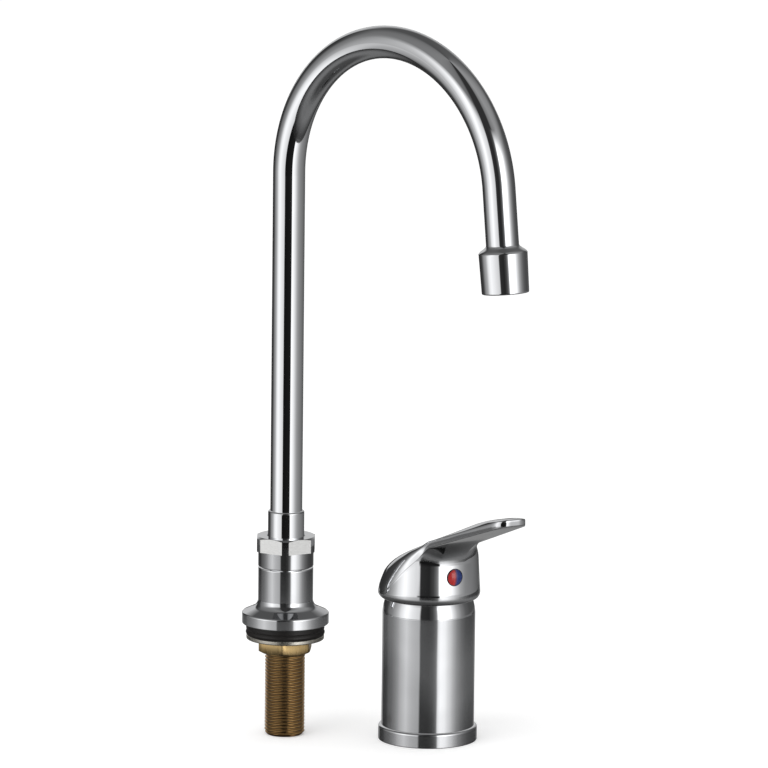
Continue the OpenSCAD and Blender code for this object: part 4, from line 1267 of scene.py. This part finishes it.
def meridian(a):
    """From the rim up the drum's side, over the edge and to the crown, in the direction a."""
    far = plan_r(a)
    cosine = math.cos(a)
    drum = ease((abs(a) - FLANK_START) / FLANK_WIDTH)
    rounding = mix(LEVER_ROUNDING, DRUM_ROUNDING, drum)
    low = edge_low(far * cosine) - (rounding - LEVER_ROUNDING)
    high = edge_high(far * cosine)
    side_top = max(min(low - 0.4, CROWN - 1.5), RIM_TOP + 0.2)
    side_r = min(HANDLE_R - DRAFT * (side_top - DRAFT_START), far)
    hollow = min(HOLLOW_MOST, HOLLOW_SHARE * (far - side_r))
    small = min(UNDER_ROUNDING, 0.4 * (far - side_r - hollow))
    first = low + min(UNDER_ROUNDING, small + 0.2)

    def under(r):
        return edge_low(r * cosine) - (rounding - LEVER_ROUNDING)

    def wall_r(z):
        return far - drum * DRAFT * (z - low)

    def top(share):
        share *= wall_r(high) / far
        sink = (ridge(far * cosine) - high) * share ** CROWN_POWER
        return share * far, ridge(share * far * cosine) - sink

    line = [(mix(HANDLE_R, side_r, i / SIDE_STEPS), mix(RIM_TOP, side_top, i / SIDE_STEPS))
            for i in range(1, SIDE_STEPS + 1)]
    for t in HOLLOW_SHARES:
        r = side_r + hollow * t
        line.append((r, mix(side_top, under(r), math.sqrt(1 - (1 - t) ** 2))))
    for t in UNDER_SHARES:
        r = mix(side_r + hollow, far - small, t)
        line.append((r, under(r)))
    line += bend((far - small, under(far - small)), (far, low), (wall_r(first), first), 4)
    line += bend((wall_r(high - rounding), high - rounding), (wall_r(high), high),
                 top(1 - rounding / far), 5)
    reach_in = (1 - rounding / far) / (1 - LEVER_ROUNDING / far)
    return RIM + line + [top(share * reach_in) for share in TOP_SHARES]


print("points on one line of the handle:", len(meridian(0)))

# %% Skin of the handle
HANDLE_COUNT = 288
CROWDING = 1.4


def handle_skin():
    """Lines in every direction, closer together toward the lever, joined into one skin."""
    bm = bmesh.new()
    rows = []
    for i in range(HANDLE_COUNT):
        t = 2 * i / HANDLE_COUNT - 1
        a = math.pi * math.copysign(abs(t) ** CROWDING, t)
        rows.append([bm.verts.new(polar(r, a, RIM_Z + z)) for r, z in meridian(a)])
    bottom = bm.verts.new((0, 0, RIM_Z))
    crown = bm.verts.new((0, 0, RIM_Z + ridge(0)))
    for i, row in enumerate(rows):
        after = rows[(i + 1) % HANDLE_COUNT]
        bm.faces.new((bottom, after[0], row[0]))
        bm.faces.new((row[-1], after[-1], crown))
        for j in range(len(row) - 1):
            bm.faces.new((row[j], after[j], after[j + 1], row[j + 1]))
    return finish_mesh(bm, "handle_casting", 50)


handle = handle_skin()
print("handle's skin:", len(handle.data.polygons), "faces")

# %% [markdown]
# ## Hollows of the handle
# The underside is part of a sphere a little larger than the dome, so the handle clears it at
# every tilt. In its middle a boss with a square socket takes the stem, and a stepped bore under
# the lever takes the set screw and the index. Each hollow is a closed shape of its own, which a
# boolean takes away from the casting.

# %% Handle
CAVITY_R = 24.5
BOSS_R = 6.5
INDEX_Z = RIM_Z + 14.9
INDEX_SEAT = 16
SCREW_BORE_R = 2.55
INDEX_BORE_R = 4.6
INDEX_SIDES = 96
LEVER = MIXER @ Matrix.Rotation(math.radians(-54.7), 4, "Z")
ACROSS_LEVER = Matrix.Translation((0, 0, INDEX_Z * MM)) @ Matrix.Rotation(math.pi / 2, 4, "Y")


def square_bar(name, half, low_z, high_z):
    bm = bmesh.new()
    bmesh.ops.create_cube(bm, size=1)
    bmesh.ops.scale(bm, verts=bm.verts, vec=(2 * half, 2 * half, high_z - low_z))
    bmesh.ops.translate(bm, verts=bm.verts, vec=(0, 0, (low_z + high_z) / 2))
    return finish_mesh(bm, name)


sphere_line = arc_points(0, PIVOT_Z, CAVITY_R, 0, 90, 48)
cavity_line = [(0, PIVOT_Z)] + [point for point in sphere_line if point[0] > BOSS_R + 0.1]
cavity_line += [(BOSS_R, sphere_z(CAVITY_R, BOSS_R)), (BOSS_R, 80.4), (BOSS_R - 0.4, 80), (0, 80)]
boolean(handle, finish_mesh(turned_bmesh(cavity_line), "cavity"), "DIFFERENCE")
boolean(handle, square_bar("socket", 3.8, 79, 92.5), "DIFFERENCE")
bore = lathe("index_bore", [(0, 3), (SCREW_BORE_R, 3), (SCREW_BORE_R, INDEX_SEAT),
                            (INDEX_BORE_R, INDEX_SEAT), (INDEX_BORE_R, 30), (0, 30)],
             ACROSS_LEVER, INDEX_SIDES)
boolean(handle, bore, "DIFFERENCE")
crisp(handle, 40)
handle.data.transform(LEVER)
dress(handle, CHROME_CAST, "lever", "chrome", "handle")

# %% [markdown]
# ## Index
# The little dome under the lever says hot on its left and cold on its right. On the real part
# it is one moulded plug of clear plastic over a two-coloured foil, so the colours meet in a
# soft line. Here the plug is the dark rim, and the two halves of the dome are separate pieces.

# %% Index colours
INDEX_PLACE = LEVER @ ACROSS_LEVER
ACROSS = (INDEX_PLACE.to_3x3() @ Vector((0, 1, 0))).normalized()
SEAM_AT = ACROSS.dot(INDEX_PLACE.translation)
SEAM_WIDTH = 0.0016
SEAM_COLOUR = (0.16, 0.05, 0.10)


def index_material(name, colour, deep):
    """Glossy colour that darkens toward the seam between the two halves."""
    material, tree, shader = new_material(name)
    point = object_point(tree)
    beside = add_node(tree, "ShaderNodeVectorMath", {0: point, 1: ACROSS}, operation="DOT_PRODUCT")
    off_seam = math_node(tree, "SUBTRACT", beside.outputs["Value"], SEAM_AT)
    fade = math_node(tree, "DIVIDE", math_node(tree, "ABSOLUTE", off_seam), SEAM_WIDTH)
    clouds = math_node(tree, "MULTIPLY", noise(tree, point, 300, 2), 0.3)
    shade = ramp_node(tree, math_node(tree, "ADD", fade, clouds),
                      [(0.1, SEAM_COLOUR), (0.75, colour), (1.0, deep)])
    tree.links.new(shade, shader.inputs["Base Color"])
    shader.inputs["Roughness"].default_value = 0.12
    shader.inputs["Coat Weight"].default_value = 0.6
    return material


INDEX_RIM = satin("index_rim", (0.10, 0.10, 0.12), (900, 900, 900), (0.15, 0.25))
INDEX_HOT = index_material("index_hot", (0.58, 0.05, 0.04), (0.46, 0.03, 0.03))
INDEX_COLD = index_material("index_cold", (0.03, 0.06, 0.24), (0.02, 0.04, 0.17))
print("index at", [round(c / MM, 1) for c in INDEX_PLACE.translation])

# %% Index plug and its two halves
INDEX_FRONT = 26.2
INDEX_BED = INDEX_FRONT - 0.1
INDEX_BACK = INDEX_FRONT - 0.6
PLUG_R = 4.55
INDEX_R = 4.15
INDEX_RISE = 1.3
INDEX_RINGS = 12
HALF_SIDES = 48


def index_half(name, side):
    """Half of the index's dome: side -1 is hot and side 1 is cold."""
    bm = bmesh.new()
    ball = (INDEX_R ** 2 + INDEX_RISE ** 2) / (2 * INDEX_RISE)
    rings = []
    for i in range(1, INDEX_RINGS + 1):
        r = INDEX_R * i / INDEX_RINGS
        z = INDEX_BED + math.sqrt(ball ** 2 - r ** 2) - (ball - INDEX_RISE)
        rings.append([bm.verts.new(polar(r, side * math.pi * k / HALF_SIDES, z))
                      for k in range(HALF_SIDES + 1)])
    top = bm.verts.new((0, 0, INDEX_BED + INDEX_RISE))
    rim = rings[-1]
    back = [bm.verts.new((spot.co.x, spot.co.y, INDEX_BACK)) for spot in rim]
    for k in range(HALF_SIDES):
        bm.faces.new((top, rings[0][k], rings[0][k + 1]))
        for ring, wider in zip(rings, rings[1:]):
            bm.faces.new((ring[k], wider[k], wider[k + 1], ring[k + 1]))
        bm.faces.new((rim[k], back[k], back[k + 1], rim[k + 1]))
    bm.faces.new(back)
    one_end = [ring[0] for ring in rings]
    other_end = [ring[-1] for ring in rings]
    bm.faces.new([top] + one_end + [back[0], back[-1]] + other_end[::-1])
    half = finish_mesh(bm, name, 40)
    half.data.transform(INDEX_PLACE)
    return half


plug = lathe("index_plug_rim", [
    (0, INDEX_SEAT + 0.2), (PLUG_R, INDEX_SEAT + 0.2, 0.2), (PLUG_R, INDEX_BED, 0.25),
    (INDEX_R + 0.1, INDEX_FRONT + 0.1, 0.1), (INDEX_R + 0.05, INDEX_BACK), (0, INDEX_BACK)],
    INDEX_PLACE, INDEX_SIDES)
dress(plug, INDEX_RIM, "lever", "index_rim", "index_plug")
dress(index_half("index_hot_half", -1), INDEX_HOT, "lever", "index_hot", "index_red")
dress(index_half("index_cold_half", 1), INDEX_COLD, "lever", "index_cold", "index_blue")

# %% [markdown]
# ## Inner pieces
# The cartridge, the seals and the aerator are seen only when the faucet is taken apart or from
# below. Their CAD shapes are right, so they only get their materials.

# %% Inner materials
def plastic(name, colour, rough=(0.32, 0.45)):
    material, tree, shader = new_material(name)
    point = object_point(tree)
    shade = two_shades(tree, noise(tree, point, 40, 2), darker(colour, 0.93), colour)
    grain = noise(tree, point, 2500, 2)
    wire(tree, shader, shade, set_range(tree, grain, *rough), grain, 0.000008)
    return material


WHITE_PLASTIC = plastic("white_plastic", (0.82, 0.82, 0.80))
DARK_PLASTIC = plastic("dark_plastic", (0.10, 0.10, 0.11))
CERAMIC = plastic("disc_ceramic", (0.86, 0.83, 0.74), (0.08, 0.16))
INNER_STEEL = satin("inner_steel", (0.62, 0.62, 0.64), (1500, 1500, 1500), (0.25, 0.38))

# %% Kept CAD shapes
KEPT = {
    "slip_washer": WHITE_PLASTIC, "spigot_o_rings": BLACK_RUBBER,
    "aerator_gasket": BLACK_RUBBER, "aerator_strainer": INNER_STEEL,
    "aerator_housing": WHITE_PLASTIC, "mixer_base_seal": BLACK_RUBBER,
    "clamp_nut": NUT_BRASS, "cartridge_housing": WHITE_PLASTIC,
    "cartridge_base": DARK_PLASTIC, "cartridge_seals": BLACK_RUBBER,
    "fixed_disc": CERAMIC, "turn_bush": WHITE_PLASTIC, "pivot_pin": INNER_STEEL,
    "moving_disc": CERAMIC, "disc_carrier": WHITE_PLASTIC, "lever_stem": INNER_STEEL,
    "set_screw": INNER_STEEL,
}
for name, material in KEPT.items():
    for slot in frame["nodes"][name].material_slots:
        slot.material = material
print("kept CAD nodes:", len(KEPT))

# %% [markdown]
# ## Two units, two pictures
# The two units were photographed apart, so in the picture neither mirrors the other. So
# every piece is left out of mirror rays, and the chrome shows only the studio and the table.
# The tail alone stays in the mirrors, because the nut's bright top shows it.

# %% Hidden in mirrors
for piece in bpy.data.objects:
    if piece.type == "MESH" and piece not in (floor, tail):
        piece.visible_glossy = False
